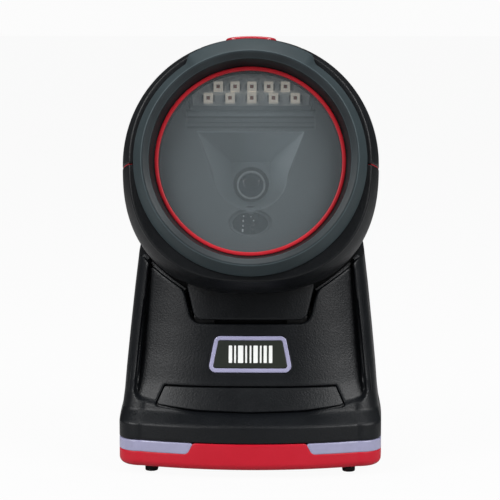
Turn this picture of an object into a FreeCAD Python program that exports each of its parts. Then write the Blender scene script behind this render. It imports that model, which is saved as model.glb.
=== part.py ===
"""Hands-free presentation barcode scanner: a tilting ball head on a weighted desk stand.

All sizes are in millimetres. +Z is up, the scan window faces -Y and +X is to the right as seen from
the front. The origin is on the desk, under the middle of the base.
The head is drawn in its own frame: x to the right, y is the depth behind the front lip, z is up
along the head. HEAD places that frame in the stand.
"""
import FreeCAD
import Part
import math
import os

V = FreeCAD.Vector
Rot = FreeCAD.Rotation

# ---------------------------------------------------------------- driving sizes
BASE_D = 94.0            # base depth at the middle
BASE_SIDE = 45.0         # half width of the base at its corners
SIDE_BULGE = 0.95        # how far each side bows out between its corners
FRONT_BOW_R = 103.0      # plan radius of the bowed front
REAR_BOW_R = 160.0       # plan radius of the bowed back
CORNER_R = 8.0
WALL = 2.0
TRAY_Z = (2.6, 11.8)     # red tray
TRAY_EDGE = 2.4          # rounding of the tray's lower edge
TRAY_FLOOR = 5.0         # inside of the tray's floor
BALLAST_TOP = 8.2
BRACKET_SCREWS = [(14.0, -10.0), (-14.0, -10.0), (14.0, 10.0), (-14.0, 10.0)]
RIM_Z = (12.0, 17.6)     # upright rim of the black housing
STAND_TOP = 80.0
TOP_SLOPE = 0.16         # how fast the top falls towards the back

LIP_Y, LIP_Z = -38.0, 108.4   # centre of the head's front lip
REST_TILT = 14.0              # how far the window looks up at rest, degrees
PIVOT_Y, PIVOT_Z = -20.5, 50.0
TILT_BACK, TILT_FORWARD = 12.0, 8.0

HEAD_A = 44.1            # half width of the head shell
HEAD_B = 44.2            # half height of the head shell
HEAD_FRONT = 6.0         # depth at which the shells start
HEAD_FULL = 18.0         # depth at which the shell reaches its full size
HEAD_LENGTH = 46.5       # from the full size to the back
SEAM_W = -1.3            # height of the seam between the upper and the lower shell
LIP_R = 36.8
STEP_R = 34.2
BEZEL_R = 39.7
TAB_R = 41.9
WINDOW_R = 33.0
HEAD_CLEARANCE_R = 47.4  # radius that the saddle leaves free around the head

NECK_GAP = 1.35          # gap round the neck's cover
SOFT_FIT = 0.02          # radial room of fixed screws in their holes

HEAD = FreeCAD.Placement(V(0, LIP_Y, LIP_Z), Rot(V(1, 0, 0), -REST_TILT))
PARTS = "parts"
os.makedirs(PARTS, exist_ok=True)


# ---------------------------------------------------------------- helpers
def save(name, shape):
    """Writes one node, as a compound of its solids if it has several."""
    solids = shape.Solids
    kept = solids[0] if len(solids) == 1 else Part.makeCompound(solids)
    kept.exportStep(os.path.join(PARTS, name + ".step"))


def save_head(name, shape):
    """Writes a node that was drawn in the head's frame."""
    save(name, placed(shape))


def placed(shape):
    """A copy of a head-frame shape, moved into the stand's frame."""
    moved = shape.copy()
    moved.Placement = HEAD.multiply(moved.Placement)
    return moved


def box(x, y, z):
    """A box from three (low, high) pairs."""
    return Part.makeBox(x[1] - x[0], y[1] - y[0], z[1] - z[0], V(x[0], y[0], z[0]))


def rod(radius, length, at, axis=(0, 1, 0)):
    return Part.makeCylinder(radius, length, V(*at), V(*axis))


def rounded(points, radii):
    """A closed outline through 2D points whose corners are tangent arcs; a radius of 0 stays sharp."""
    n = len(points)
    starts, edges = [], []
    for i in range(n):
        p = V(points[i][0], points[i][1], 0)
        before = V(points[i - 1][0], points[i - 1][1], 0) - p
        after = V(points[(i + 1) % n][0], points[(i + 1) % n][1], 0) - p
        before.normalize()
        after.normalize()
        half = before.getAngle(after) / 2
        if radii[i] <= 0:
            starts.append((p, None, p))
            continue
        run = radii[i] / math.tan(half)
        inward = before + after
        inward.normalize()
        mid = p + inward * (radii[i] / math.sin(half) - radii[i])
        starts.append((p + before * run, mid, p + after * run))
    for i in range(n):
        first, mid, last = starts[i]
        if mid is not None:
            edges.append(Part.Arc(first, mid, last).toShape())
        following = starts[(i + 1) % n][0]
        if last.distanceToPoint(following) > 1e-6:
            edges.append(Part.LineSegment(last, following).toShape())
    return Part.Wire(edges)


def front_prism(wire, y0, y1):
    """An outline drawn as (x, z), made a prism from y0 to y1."""
    face = Part.Face(wire)
    face.rotate(V(0, 0, 0), V(1, 0, 0), 90)
    face.translate(V(0, y0, 0))
    return face.extrude(V(0, y1 - y0, 0))


def top_prism(wire, z0, z1):
    """An outline drawn as (x, y), made a prism from z0 to z1."""
    face = Part.Face(wire)
    face.translate(V(0, 0, z0))
    return face.extrude(V(0, 0, z1 - z0))


def side_prism(points, x0, x1):
    """A polygon of (y, z) points, made a prism from x0 to x1."""
    corners = [V(x0, p[0], p[1]) for p in points]
    face = Part.Face(Part.makePolygon(corners + [corners[0]]))
    return face.extrude(V(x1 - x0, 0, 0))


def spun(points):
    """A ring or disc turned about the depth axis from a polygon of (radius, depth) points."""
    corners = [V(p[0], p[1], 0) for p in points]
    face = Part.Face(Part.makePolygon(corners + [corners[0]]))
    return face.revolve(V(0, 0, 0), V(0, 1, 0), 360)


def mirrored(shape):
    """The shape and its mirror image across the middle plane, as one compound."""
    return Part.makeCompound([shape, shape.mirror(V(0, 0, 0), V(1, 0, 0))])


def fused(first, *others):
    return first.multiFuse(list(others)).removeSplitter() if others else first


def screw(at, axis, length, head_r=2.3, head_h=1.6, shank_r=1.2):
    """A cross-head screw: at is the underside of its head, axis points along the shank."""
    direction = V(*axis)
    direction.normalize()
    start = V(*at)
    shank = Part.makeCylinder(shank_r, length, start, direction)
    top = start - direction * head_h
    head = Part.makeCone(head_r * 0.82, head_r, head_h, top, direction)
    across = direction.cross(V(1, 0, 0) if abs(direction.x) < 0.9 else V(0, 1, 0))
    across.normalize()
    slots = []
    for turn in (0, 90):
        arm = across if turn == 0 else direction.cross(across)
        side = direction.cross(arm)
        corner = top - arm * (head_r * 0.55) - side * 0.3
        slot = Part.makeBox(head_r * 1.1, 0.6, head_h * 0.6)
        frame = FreeCAD.Matrix(arm.x, side.x, direction.x, corner.x, arm.y, side.y, direction.y, corner.y,
                               arm.z, side.z, direction.z, corner.z, 0, 0, 0, 1)
        slots.append(slot.transformGeometry(frame))
    return head.fuse(shank).cut(slots[0]).cut(slots[1])


# ---------------------------------------------------------------- head shells
def head_scale(depth, length=HEAD_LENGTH):
    """The shell's size at a depth, as a share of its full size: a soft shoulder, then a domed back."""
    if depth <= HEAD_FULL:
        return 1 - 0.068 * ((HEAD_FULL - depth) / 12.0) ** 2
    share = min(1.0, (depth - HEAD_FULL) / length)
    return (1 - share ** 2.3) ** (1 / 2.3)


def head_section(depth, grow, length):
    """The closed cross-section: nearly round above, fuller below."""
    scale = head_scale(depth, length)
    a, b = (HEAD_A + grow) * scale, (HEAD_B + grow) * scale
    points = []
    count = 48
    for i in range(count):
        angle = 2 * math.pi * i / count
        c, s = math.cos(angle), math.sin(angle)
        power = 2.05 if s >= 0 else 2.4
        r = (abs(c / a) ** power + abs(s / b) ** power) ** (-1 / power)
        points.append(V(r * c, depth, r * s))
    curve = Part.BSplineCurve()
    curve.interpolate(Points=points, PeriodicFlag=True)
    return Part.Wire(curve.toShape())


def head_solid(grow, front):
    """The head's solid form from a front depth to its domed back, grown outwards by grow."""
    length = HEAD_LENGTH + grow
    steps = (0.0, 0.24, 0.45, 0.62, 0.76, 0.87, 0.94, 0.978, 0.9965)
    depths = [front, front + 4.0, front + 8.0] + [HEAD_FULL + length * s for s in steps]
    return Part.makeLoft([head_section(d, grow, length) for d in depths], True, False)


def strip_outline(grow):
    """The top cover seen from above: wide at the bezel, narrowing towards the back."""
    half = [(20.4, 4.0), (20.4, 6.0), (17.4, 13.0), (15.0, 30.0), (13.0, 47.0)]
    right = [(x + grow, d) for x, d in half[:-1]] + [(half[-1][0] + grow, half[-1][1] + grow)]
    left = [(-x, d) for x, d in reversed(right)]
    return rounded(right + left, [0, 0, 0, 0, 6.0, 6.0, 0, 0, 0, 0])


def button_outline(grow):
    w, d0, d1, r = 8.9 + grow, 11.6 - grow, 22.0 + grow, 4.6 + grow
    return rounded([(-w, d0), (w, d0), (w, d1), (-w, d1)], [r] * 4)


REAR_SCREWS = [(18.0, 12.0), (-18.0, 12.0), (18.0, -15.0), (-18.0, -15.0)]   # (x, z) in the head's frame
SCREW_SEAT = 55.7


def build_head_shells():
    outer = head_solid(0.0, HEAD_FRONT)
    inner = head_solid(-WALL, HEAD_FRONT - 2.0)
    skin = outer.cut(inner)
    big = 60.0
    above = box((-big, big), (0, 80), (SEAM_W + 0.2, big))
    below = box((-big, big), (0, 80), (-big, SEAM_W - 0.2))

    sleeves, bores = [], []
    for x, z in REAR_SCREWS:
        sleeves.append(rod(4.2, 12.0, (x, SCREW_SEAT, z)).common(outer))
        bores.append(rod(2.7, 14.0, (x, SCREW_SEAT + 1.5, z)))
        bores.append(rod(1.4, 6.0, (x, SCREW_SEAT - 1.0, z)))
    skin = skin.multiFuse(sleeves)
    for bore in bores:
        skin = skin.cut(bore)

    upper = skin.common(above)
    strip_cut = top_prism(strip_outline(0.15), 15.0, 60.0)
    save_head("head_upper_shell", upper.cut(strip_cut))

    strip = upper.common(top_prism(strip_outline(-0.15), 15.0, 60.0))
    strip = strip.cut(top_prism(button_outline(0.3), 30.0, 60.0))
    posts = [rod(1.9, 8.0, (s * 13.4, 17.0, 33.4), (0, 0, 1)).common(outer) for s in (1, -1)]
    posts = [p.common(box((-20, 20), (0, 40), (33.4, 42.0))).common(inner) for p in posts]
    strip = fused(strip, *posts)
    for s in (1, -1):
        strip = strip.cut(rod(0.8 + SOFT_FIT, 4.0, (s * 13.4, 17.0, 33.0), (0, 0, 1)))
    save_head("head_top_cover", strip)

    lower = placed(skin.common(below))
    neck_hole = box((-23.5, 23.5), (-29.5, -8.0), (50.0, 69.0))
    save("head_lower_shell", lower.cut(neck_hole))

    gasket = head_solid(-0.35, HEAD_FRONT + 1.0).cut(head_solid(-1.6, HEAD_FRONT))
    gasket = gasket.common(box((-big, big), (0, 80), (SEAM_W - 0.16, SEAM_W + 0.16)))
    save_head("seam_gasket", gasket)

    screws = [screw((x, SCREW_SEAT + 1.5, z), (0, -1, 0), 10.5) for x, z in REAR_SCREWS]
    save_head("head_rear_screws", Part.makeCompound(screws))


def build_button():
    cap = head_solid(0.75, HEAD_FRONT).common(top_prism(button_outline(0.0), 40.2, 60.0))
    flange = top_prism(button_outline(0.9), 39.3, 40.25)
    stem = rod(2.6, 1.0, (0, 17.0, 38.4), (0, 0, 1))
    save_head("top_button", fused(cap, flange, stem))
    save_head("switch_plunger", rod(1.7, 2.2, (0, 17.0, 36.2), (0, 0, 1)))
    body = box((-3.1, 3.1), (13.9, 20.1), (33.4, 37.2)).cut(rod(1.9, 3.0, (0, 17.0, 34.9), (0, 0, 1)))
    save_head("button_switch", body)
    board = box((-16.0, 16.0), (12.5, 21.5), (32.2, 33.4))
    for s in (1, -1):
        board = board.cut(rod(0.8 + SOFT_FIT, 4.0, (s * 13.4, 17.0, 31.0), (0, 0, 1)))
    save_head("button_board", board)
    screws = [screw((s * 13.4, 17.0, 32.2), (0, 0, 1), 4.0, 1.6, 1.0, 0.8) for s in (1, -1)]
    save_head("button_board_screws", Part.makeCompound(screws))


# ---------------------------------------------------------------- window and bezel
def build_window():
    ring = spun([(LIP_R, 0.35), (LIP_R - 0.35, 0.0), (LIP_R - 0.75, 0.1), (STEP_R + 0.2, 1.35), (STEP_R, 1.6),
                 (32.78, 7.7), (32.78, 8.2), (33.3, 8.2), (33.3, 11.6), (35.4, 11.6), (38.5, 8.6),
                 (38.5, 5.75), (BEZEL_R - 0.15, 5.75), (BEZEL_R, 5.4)])
    tab = spun([(LIP_R - 0.1, 0.35), (TAB_R, 5.3), (TAB_R, 5.75), (38.3, 5.75), (36.0, 2.0)])
    tab_outline = [(23.0, 30.0), (22.2, 33.0), (20.6, 36.3), (17.0, 42.5)]
    wire = rounded(tab_outline + [(-x, z) for x, z in reversed(tab_outline)], [0] * 8)
    tab = tab.common(front_prism(wire, -1.0, 7.0))
    save_head("head_bezel", ring.fuse(tab).removeSplitter())

    red = spun([(32.62, 7.55), (32.3, 7.15), (31.6, 7.15), (31.25, 7.55), (31.25, 8.15), (32.62, 8.15)])
    save_head("window_ring", red)
    save_head("scan_window", rod(WINDOW_R, 1.8, (0, 8.2, 0)))
    save_head("window_gasket", spun([(31.0, 10.05), (33.1, 10.05), (33.1, 11.5), (31.0, 11.5)]))


# ---------------------------------------------------------------- optics
LENS_Z = -4.8
AIMER_Z = -20.0
OPTICS_U = 12.4           # front of the optics housing
BOARD_U = 16.4            # front of the LED board
LED_ROWS = [(27.6, 5.8), (23.6, 7.5)]   # height of each row and its spacing
LED_COUNT = 5


def funnel_section(depth, top_half, top_z, round_r, centre_z):
    """A closed curve round a wide top edge and a round bottom, as one spline."""
    points = [V(-top_half, depth, top_z), V(-top_half / 2, depth, top_z), V(0, depth, top_z),
              V(top_half / 2, depth, top_z), V(top_half, depth, top_z)]
    for angle in (12, -15, -45, -90, -135, -165, -192):
        a = math.radians(angle)
        points.append(V(round_r * math.cos(a), depth, centre_z + round_r * math.sin(a)))
    return Part.makePolygon(points + [points[0]])


def build_optics():
    plate = rod(32.6, 2.2, (0, OPTICS_U, 0))
    funnel_outer = Part.makeLoft([funnel_section(OPTICS_U + 0.4, 19.4, 12.6, 12.6, -5.0),
                                  funnel_section(27.0, 8.4, 4.4, 8.4, LENS_Z)], True, True)
    funnel_inner = Part.makeLoft([funnel_section(OPTICS_U - 0.4, 18.6, 11.9, 11.5, -5.0),
                                  funnel_section(25.6, 6.9, 2.6, 6.9, LENS_Z)], True, True)
    aimer_tube = rod(8.6, 6.0, (0, OPTICS_U + 0.2, AIMER_Z))
    bosses = [rod(3.0, 18.9 - OPTICS_U - 1.0, (x, OPTICS_U + 1.0, z)) for x, z in CHASSIS_POSTS]
    body = plate.multiFuse([funnel_outer, aimer_tube] + bosses)
    body = body.cut(funnel_inner).cut(rod(6.2, 8.0, (0, 24.0, LENS_Z)))
    body = body.cut(rod(7.2, 2.4, (0, OPTICS_U - 1.0, AIMER_Z))).cut(rod(6.05, 12.0, (0, OPTICS_U, AIMER_Z)))
    led_gap = rounded([(-21.2, 18.7), (21.2, 18.7), (23.4, 40.0), (-23.4, 40.0)], [0] * 4)
    body = body.cut(front_prism(led_gap, OPTICS_U - 1.0, 22.0))
    for low, high, deep in ((17.0, 18.8, 1.5), (14.7, 17.0, 0.5), (12.7, 14.7, 0.9)):
        body = body.cut(box((-22.0, 22.0), (OPTICS_U - 1.0, OPTICS_U + deep), (low, high)))
    for x, z in CHASSIS_POSTS:
        body = body.cut(rod(1.1, 6.0, (x, 14.8, z)))
    save_head("optics_housing", body)

    frame_out = rounded([(-21.0, 18.9), (21.0, 18.9), (23.2, 40.0), (-23.2, 40.0)], [0.6, 0.6, 0, 0])
    frame_in = rounded([(-19.9, 20.0), (19.9, 20.0), (22.0, 40.0), (-22.0, 40.0)], [0.4, 0.4, 0, 0])
    frame = front_prism(frame_out, 12.6, 16.3).cut(front_prism(frame_in, 12.0, 17.0))
    save_head("led_frame", frame.common(rod(32.0, 10.0, (0, 10.0, 0))))
    board = box((-24.0, 24.0), (BOARD_U, BOARD_U + 1.2), (16.2, 31.8)).common(rod(32.2, 9.0, (0, 10.0, 0)))
    board = board.cut(box((-16.6, 16.6), (10, 20), (15.0, 18.0)))
    save_head("led_board", board)
    leds = []
    for z, pitch in LED_ROWS:
        for i in range(LED_COUNT):
            x = (i - (LED_COUNT - 1) / 2) * pitch + 0.3
            chip = box((x - 1.6, x + 1.6), (BOARD_U - 1.5, BOARD_U), (z - 1.75, z + 1.75))
            leds.append(chip.cut(Part.makeCone(1.25, 0.9, 0.6, V(x, BOARD_U - 1.5, z), V(0, 1, 0))))
    save_head("illumination_leds", Part.makeCompound(leds))

    barrel = spun([(4.3, 26.4), (5.0, 26.4), (5.2, 26.7), (5.2, 27.6), (6.0, 27.6), (6.0, 33.8), (3.2, 33.8),
                   (3.2, 29.6), (4.3, 29.6)])
    barrel.translate(V(0, 0, LENS_Z))
    save_head("camera_lens_barrel", barrel)
    lens = rod(4.25, 1.2, (0, 28.2, LENS_Z)).fuse(
        Part.makeSphere(9.0, V(0, 35.9, LENS_Z)).common(rod(4.1, 1.6, (0, 26.8, LENS_Z))))
    save_head("camera_lens", lens.removeSplitter())
    save_head("image_sensor", box((-4.2, 4.2), (33.9, 35.0), (LENS_Z - 4.2, LENS_Z + 4.2)))
    save_head("camera_board", box((-12.0, 12.0), (35.0, 36.2), (LENS_Z - 12.0, LENS_Z + 12.0)))
    save_head("aimer_lens", rod(6.0, 1.6, (0, 14.2, AIMER_Z)))
    save_head("aimer_emitter", rod(3.0, 7.0, (0, 18.6, AIMER_Z)))
    ring = spun([(3.05, 18.8), (6.0, 18.8), (6.0, 21.0), (3.05, 21.0)])
    ring.translate(V(0, 0, AIMER_Z))
    save_head("aimer_holder", ring)


CHASSIS_POSTS = [(26.0, 8.0), (-26.0, 8.0), (24.0, -15.0), (-24.0, -15.0)]


def build_head_inside():
    plate = rod(35.0, 2.0, (0, 37.0, 0)).common(box((-31, 31), (30, 45), (-32, 30)))
    window = box((-14, 14), (30, 45), (LENS_Z - 14, LENS_Z + 14))
    foot = box((-21.0, 21.0), (14.8, 39.0), (-33.0, -30.6))
    posts = [rod(2.6, 18.1, (x, 18.9, z)) for x, z in CHASSIS_POSTS]
    rear_posts = [rod(3.2, SCREW_SEAT - 0.1 - 38.0, (x, 38.0, z)) for x, z in REAR_SCREWS]
    arms = [box((sx * 13.0 - 2.0, sx * 13.0 + 2.0), (36.3, 38.0), (z - 2.5, z + 2.5))
            for sx in (1, -1) for z in (LENS_Z - 10.5, LENS_Z + 10.5)]
    body = plate.cut(window).multiFuse([foot] + posts + rear_posts + arms).removeSplitter()
    for x, z in REAR_SCREWS:
        body = body.cut(rod(1.2 + SOFT_FIT, 12.0, (x, 46.0, z)))
    for x, z in CHASSIS_POSTS:
        body = body.cut(rod(1.1 + SOFT_FIT, 30.0, (x, 14.0, z)))
    foot_screws = [(x, d) for x in (16.0, -16.0) for d in (18.0, 27.0)]
    for x, d in foot_screws:
        body = body.cut(rod(1.2 + SOFT_FIT, 6.0, (x, d, -34.0), (0, 0, 1)))
    save_head("head_chassis", body)
    optics = [screw((x, 39.0, z), (0, -1, 0), 22.0, 2.2, 1.5, 1.1) for x, z in CHASSIS_POSTS]
    save_head("optics_screws", Part.makeCompound(optics))
    feet = [screw((x, d, -30.6), (0, 0, -1), 6.5) for x, d in foot_screws]
    save_head("neck_screws", Part.makeCompound(feet))

    board = box((-27.0, 27.0), (41.4, 42.8), (-20.0, 24.0)).common(rod(32.0, 9.0, (0, 38.0, 0)))
    stand_offs = [rod(2.0, 2.4, (x, 39.0, z)) for x, z in ((22.0, 0.0), (-22.0, 0.0))]
    for x, z in REAR_SCREWS:
        board = board.cut(rod(3.5, 9.0, (x, 38.0, z)))
    save_head("decoder_board", board)
    save_head("board_spacers", Part.makeCompound(stand_offs))
    chips = [box((-8.0, 5.0), (42.8, 44.2), (-4.0, 9.0)), box((8.0, 16.0), (42.8, 43.9), (-6.0, 4.0)),
             box((-18.0, -11.0), (42.8, 43.8), (-8.0, 4.0)), box((-9.0, 9.0), (42.8, 46.4), (-19.0, -14.6))]
    save_head("decoder_chips", Part.makeCompound(chips))


# ---------------------------------------------------------------- stand outlines
def table(z, rows):
    """Straight-line lookup in (z, value) rows."""
    for (z0, v0), (z1, v1) in zip(rows, rows[1:]):
        if z <= z1:
            return v0 + (v1 - v0) * (z - z0) / (z1 - z0)
    return rows[-1][1]


FIN_FRONT = [(17.6, -39.6), (21, -33.4), (26, -31.4), (34, -28.8), (46, -24.6), (60, -19.8), (72, -16.2), (80, -14.0)]
STAND_REAR = [(17.6, 47.0), (21, 44.6), (26, 42.8), (34, 40.8), (46, 38.6), (60, 36.4), (72, 34.2), (80, 32.4)]
STAND_SIDE = [(17.6, 45.0), (21, 44.3), (26, 43.7), (34, 43.1), (46, 42.0), (60, 40.6), (72, 39.2), (80, 38.1)]
PANEL_FRONT = [(18, -41.0), (21, -38.8), (24, -36.9), (30, -33.9), (40, -30.8), (50, -28.3), (60, -26.3),
               (70, -24.6), (80, -23.2)]
INSET_SIDE = [(21, 39.8), (26, 39.6), (50, 37.1), (70, 34.8), (84, 33.2)]
FIN_X = 39.0


def plan_section(z, side, front, rear, corner, bulge):
    """A rounded plan outline: bowed front, slightly bowed sides and back."""
    xf = side - corner
    yf = front + xf ** 2 / (2 * FRONT_BOW_R)
    yr = rear - xf ** 2 / (2 * REAR_BOW_R)
    k = corner * (1 - math.sqrt(0.5))
    mid_y = (yf + yr) / 2
    pts = [((-xf, yf), (0, front), (xf, yf)), ((xf, yf), (side - k, yf + k), (side, yf + corner)),
           ((side, yf + corner), (side + bulge, mid_y), (side, yr - corner)),
           ((side, yr - corner), (side - k, yr - k), (xf, yr)), ((xf, yr), (0, rear), (-xf, yr)),
           ((-xf, yr), (-side + k, yr - k), (-side, yr - corner)),
           ((-side, yr - corner), (-side - bulge, mid_y), (-side, yf + corner)),
           ((-side, yf + corner), (-side + k, yf + k), (-xf, yf))]
    return Part.Wire([Part.Arc(*[V(p[0], p[1], z) for p in arc]).toShape() for arc in pts])


def base_wire(inset, z):
    """The base's plan outline, inset, at one height."""
    return plan_section(z, BASE_SIDE - inset, -BASE_D / 2 + inset, BASE_D / 2 - inset,
                        max(CORNER_R - inset, 2.0), SIDE_BULGE)


def base_prism(inset, z0, z1):
    """The base's plan outline, inset, between two heights."""
    return Part.Face(base_wire(inset, z0)).extrude(V(0, 0, z1 - z0))


def frame_section(z, inset):
    virtual_front = table(z, FIN_FRONT) - FIN_X ** 2 / (2 * FRONT_BOW_R)
    return plan_section(z, table(z, STAND_SIDE) - inset, virtual_front + inset, table(z, STAND_REAR) - inset,
                        max(CORNER_R - inset, 3.0), SIDE_BULGE)


def frame_solid(inset):
    """The stand's outer body without its inset front."""
    low = Part.makeLoft([frame_section(z, inset) for z in (17.6, 21)], True, True)
    middle = Part.makeLoft([frame_section(z, inset) for z in (21, 26)], True, True)
    top = STAND_TOP - (inset if inset > 0 else 0)
    high = Part.makeLoft([frame_section(z, inset) for z in (26, 34, 46, 60, 72, top)], True, False)
    return low.fuse(middle).fuse(high)


def panel_y(x, z):
    """Depth of the inset front surface: flat in the middle, falling back towards the fins."""
    bend = 1.2e-4 + 0.9e-4 * (z - 21) / 55
    return table(z, PANEL_FRONT) + bend * abs(x) ** 3


def panel_solid(inset, room=0.0, back=6.0):
    """A block whose front is the inset front surface, wider by room than the inset front."""
    wires = []
    for z in (18, 21, 24, 30, 40, 50, 60, 70, 80):
        half = table(max(z, 21), INSET_SIDE) + 1.0 - inset + room
        xs = [half * i / 8 for i in range(-8, 9)]
        curve = Part.BSplineCurve()
        curve.interpolate([V(x, panel_y(x, z) + inset, z) for x in xs])
        a, b = V(half, panel_y(half, z) + inset, z), V(half, back, z)
        c, d = V(-half, back, z), V(-half, panel_y(half, z) + inset, z)
        wires.append(Part.Wire([curve.toShape(), Part.LineSegment(a, b).toShape(),
                                Part.LineSegment(b, c).toShape(), Part.LineSegment(c, d).toShape()]))
    low = Part.makeLoft(wires[:4], True, True)
    return low.fuse(Part.makeLoft(wires[3:], True, False))


def inset_prism(grow):
    """The front-view outline of the inset front, as a prism that opens the frame."""
    right = [(34.8 + grow, 70.0), (33.0 + grow, 90.0)]
    low = [(-39.6 - grow, 25.2 - grow), (-20.0, 21.7 - grow), (0.0, 21.0 - grow), (20.0, 21.7 - grow),
           (39.6 + grow, 25.2 - grow)]
    left = [(-x, z) for x, z in reversed(right)]
    side_r, side_l = [(37.1 + grow, 50.0)], [(-37.1 - grow, 50.0)]
    points = low + side_r + right + left + side_l
    radii = [3.0, 0, 0, 0, 3.0, 0, 0, 0, 0, 0, 0, 0]
    return front_prism(rounded(points, radii[:len(points)]), -60.0, -6.0)


def head_sweep(extra):
    """The room the head needs over its whole tilt, as turned solids about its axis."""
    radius = HEAD_CLEARANCE_R + extra
    length = HEAD_LENGTH + 1.4 + extra
    profile = [V(0, -3.0, 0), V(radius * 0.95, -3.0, 0)]
    rims = [V(radius * head_scale(d), d, 0) for d in (6.0, 12.0)]
    dome = []
    for share in (0.0, 0.25, 0.5, 0.7, 0.85, 0.95, 0.99):
        dome.append(V(radius * (1 - share ** 2.3) ** (1 / 2.3), HEAD_FULL + length * share, 0))
    end = V(0, HEAD_FULL + length, 0)
    curve = Part.BSplineCurve()
    curve.interpolate(rims + dome + [end])
    edges = [Part.LineSegment(profile[0], profile[1]).toShape(),
             Part.LineSegment(profile[1], rims[0]).toShape(), curve.toShape(),
             Part.LineSegment(end, profile[0]).toShape()]
    turned = Part.Face(Part.Wire(edges)).revolve(V(0, 0, 0), V(0, 1, 0), 360)
    poses = []
    for angle in (-TILT_BACK, -TILT_BACK / 2, 0.0, TILT_FORWARD):
        pose = placed(turned)
        pose.rotate(V(0, PIVOT_Y, PIVOT_Z), V(1, 0, 0), angle)
        poses.append(pose)
    return poses


def under_top(body, lower):
    """Cuts the top of the stand down towards the back, and leaves room for the head."""
    low = STAND_TOP - lower
    body = body.cut(side_prism([(4.0, low), (64.0, low - 60.0 * TOP_SLOPE), (64.0, 120.0), (4.0, 120.0)], -70, 70))
    for sweep in head_sweep(lower):
        body = body.cut(sweep)
    return body


def stand_solid():
    """The stand's outer form: the frame, its inset front and the saddle for the head."""
    return under_top(frame_solid(0.0).cut(inset_prism(0.0)).fuse(panel_solid(0.0)), 0.0)


def stand_room(inset):
    """The space inside the stand, an inset away from its outer form; the side fins stay solid."""
    return under_top(frame_solid(inset).common(panel_solid(inset, 12.0, 60.0)), inset)


def tongue_outline(grow):
    """Front view of the neck's cover: a tapered tab with rounded lower corners."""
    low, high = 51.4 - grow, 66.0
    return rounded([(-19.3 - grow, low), (19.3 + grow, low), (23.0 + grow, high), (-23.0 - grow, high)],
                   [3.2 + grow, 3.2 + grow, 0, 0])


def plate_outline(grow):
    """Front view of the lower front plate, which ends at the ridge of the flange."""
    return rounded([(-32.6 - grow, 22.9 - grow), (-18.0, 21.6 - grow), (0, 21.05 - grow), (18.0, 21.6 - grow),
                    (32.6 + grow, 22.9 - grow), (29.6 + grow, 29.2 + grow), (-29.6 - grow, 29.2 + grow)],
                   [0, 0, 0, 0, 0, 4.4, 4.4])


def badge_outline(grow):
    return rounded([(-14.7 - grow, 33.9 - grow), (14.7 + grow, 33.9 - grow), (12.2 + grow, 46.1 + grow),
                    (-12.2 - grow, 46.1 + grow)], [2.3 + grow] * 4)


SPEAKER_Z = 54.0
SOCKET_Z = 29.0
SCREW_SPOTS = [(38.0, -14.0), (-38.0, -14.0), (38.0, 16.0), (-38.0, 16.0)]
COVER_SCREWS = [(20.0, 60.0), (-20.0, 60.0), (22.0, 26.0), (-22.0, 26.0)]


def cover_outline(grow):
    """Rear view of the rear cover."""
    return rounded([(-27 - grow, 21.5 - grow), (27 + grow, 21.5 - grow), (25 + grow, 65 + grow),
                    (-25 - grow, 65 + grow)], [4.0 + grow] * 4)


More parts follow.
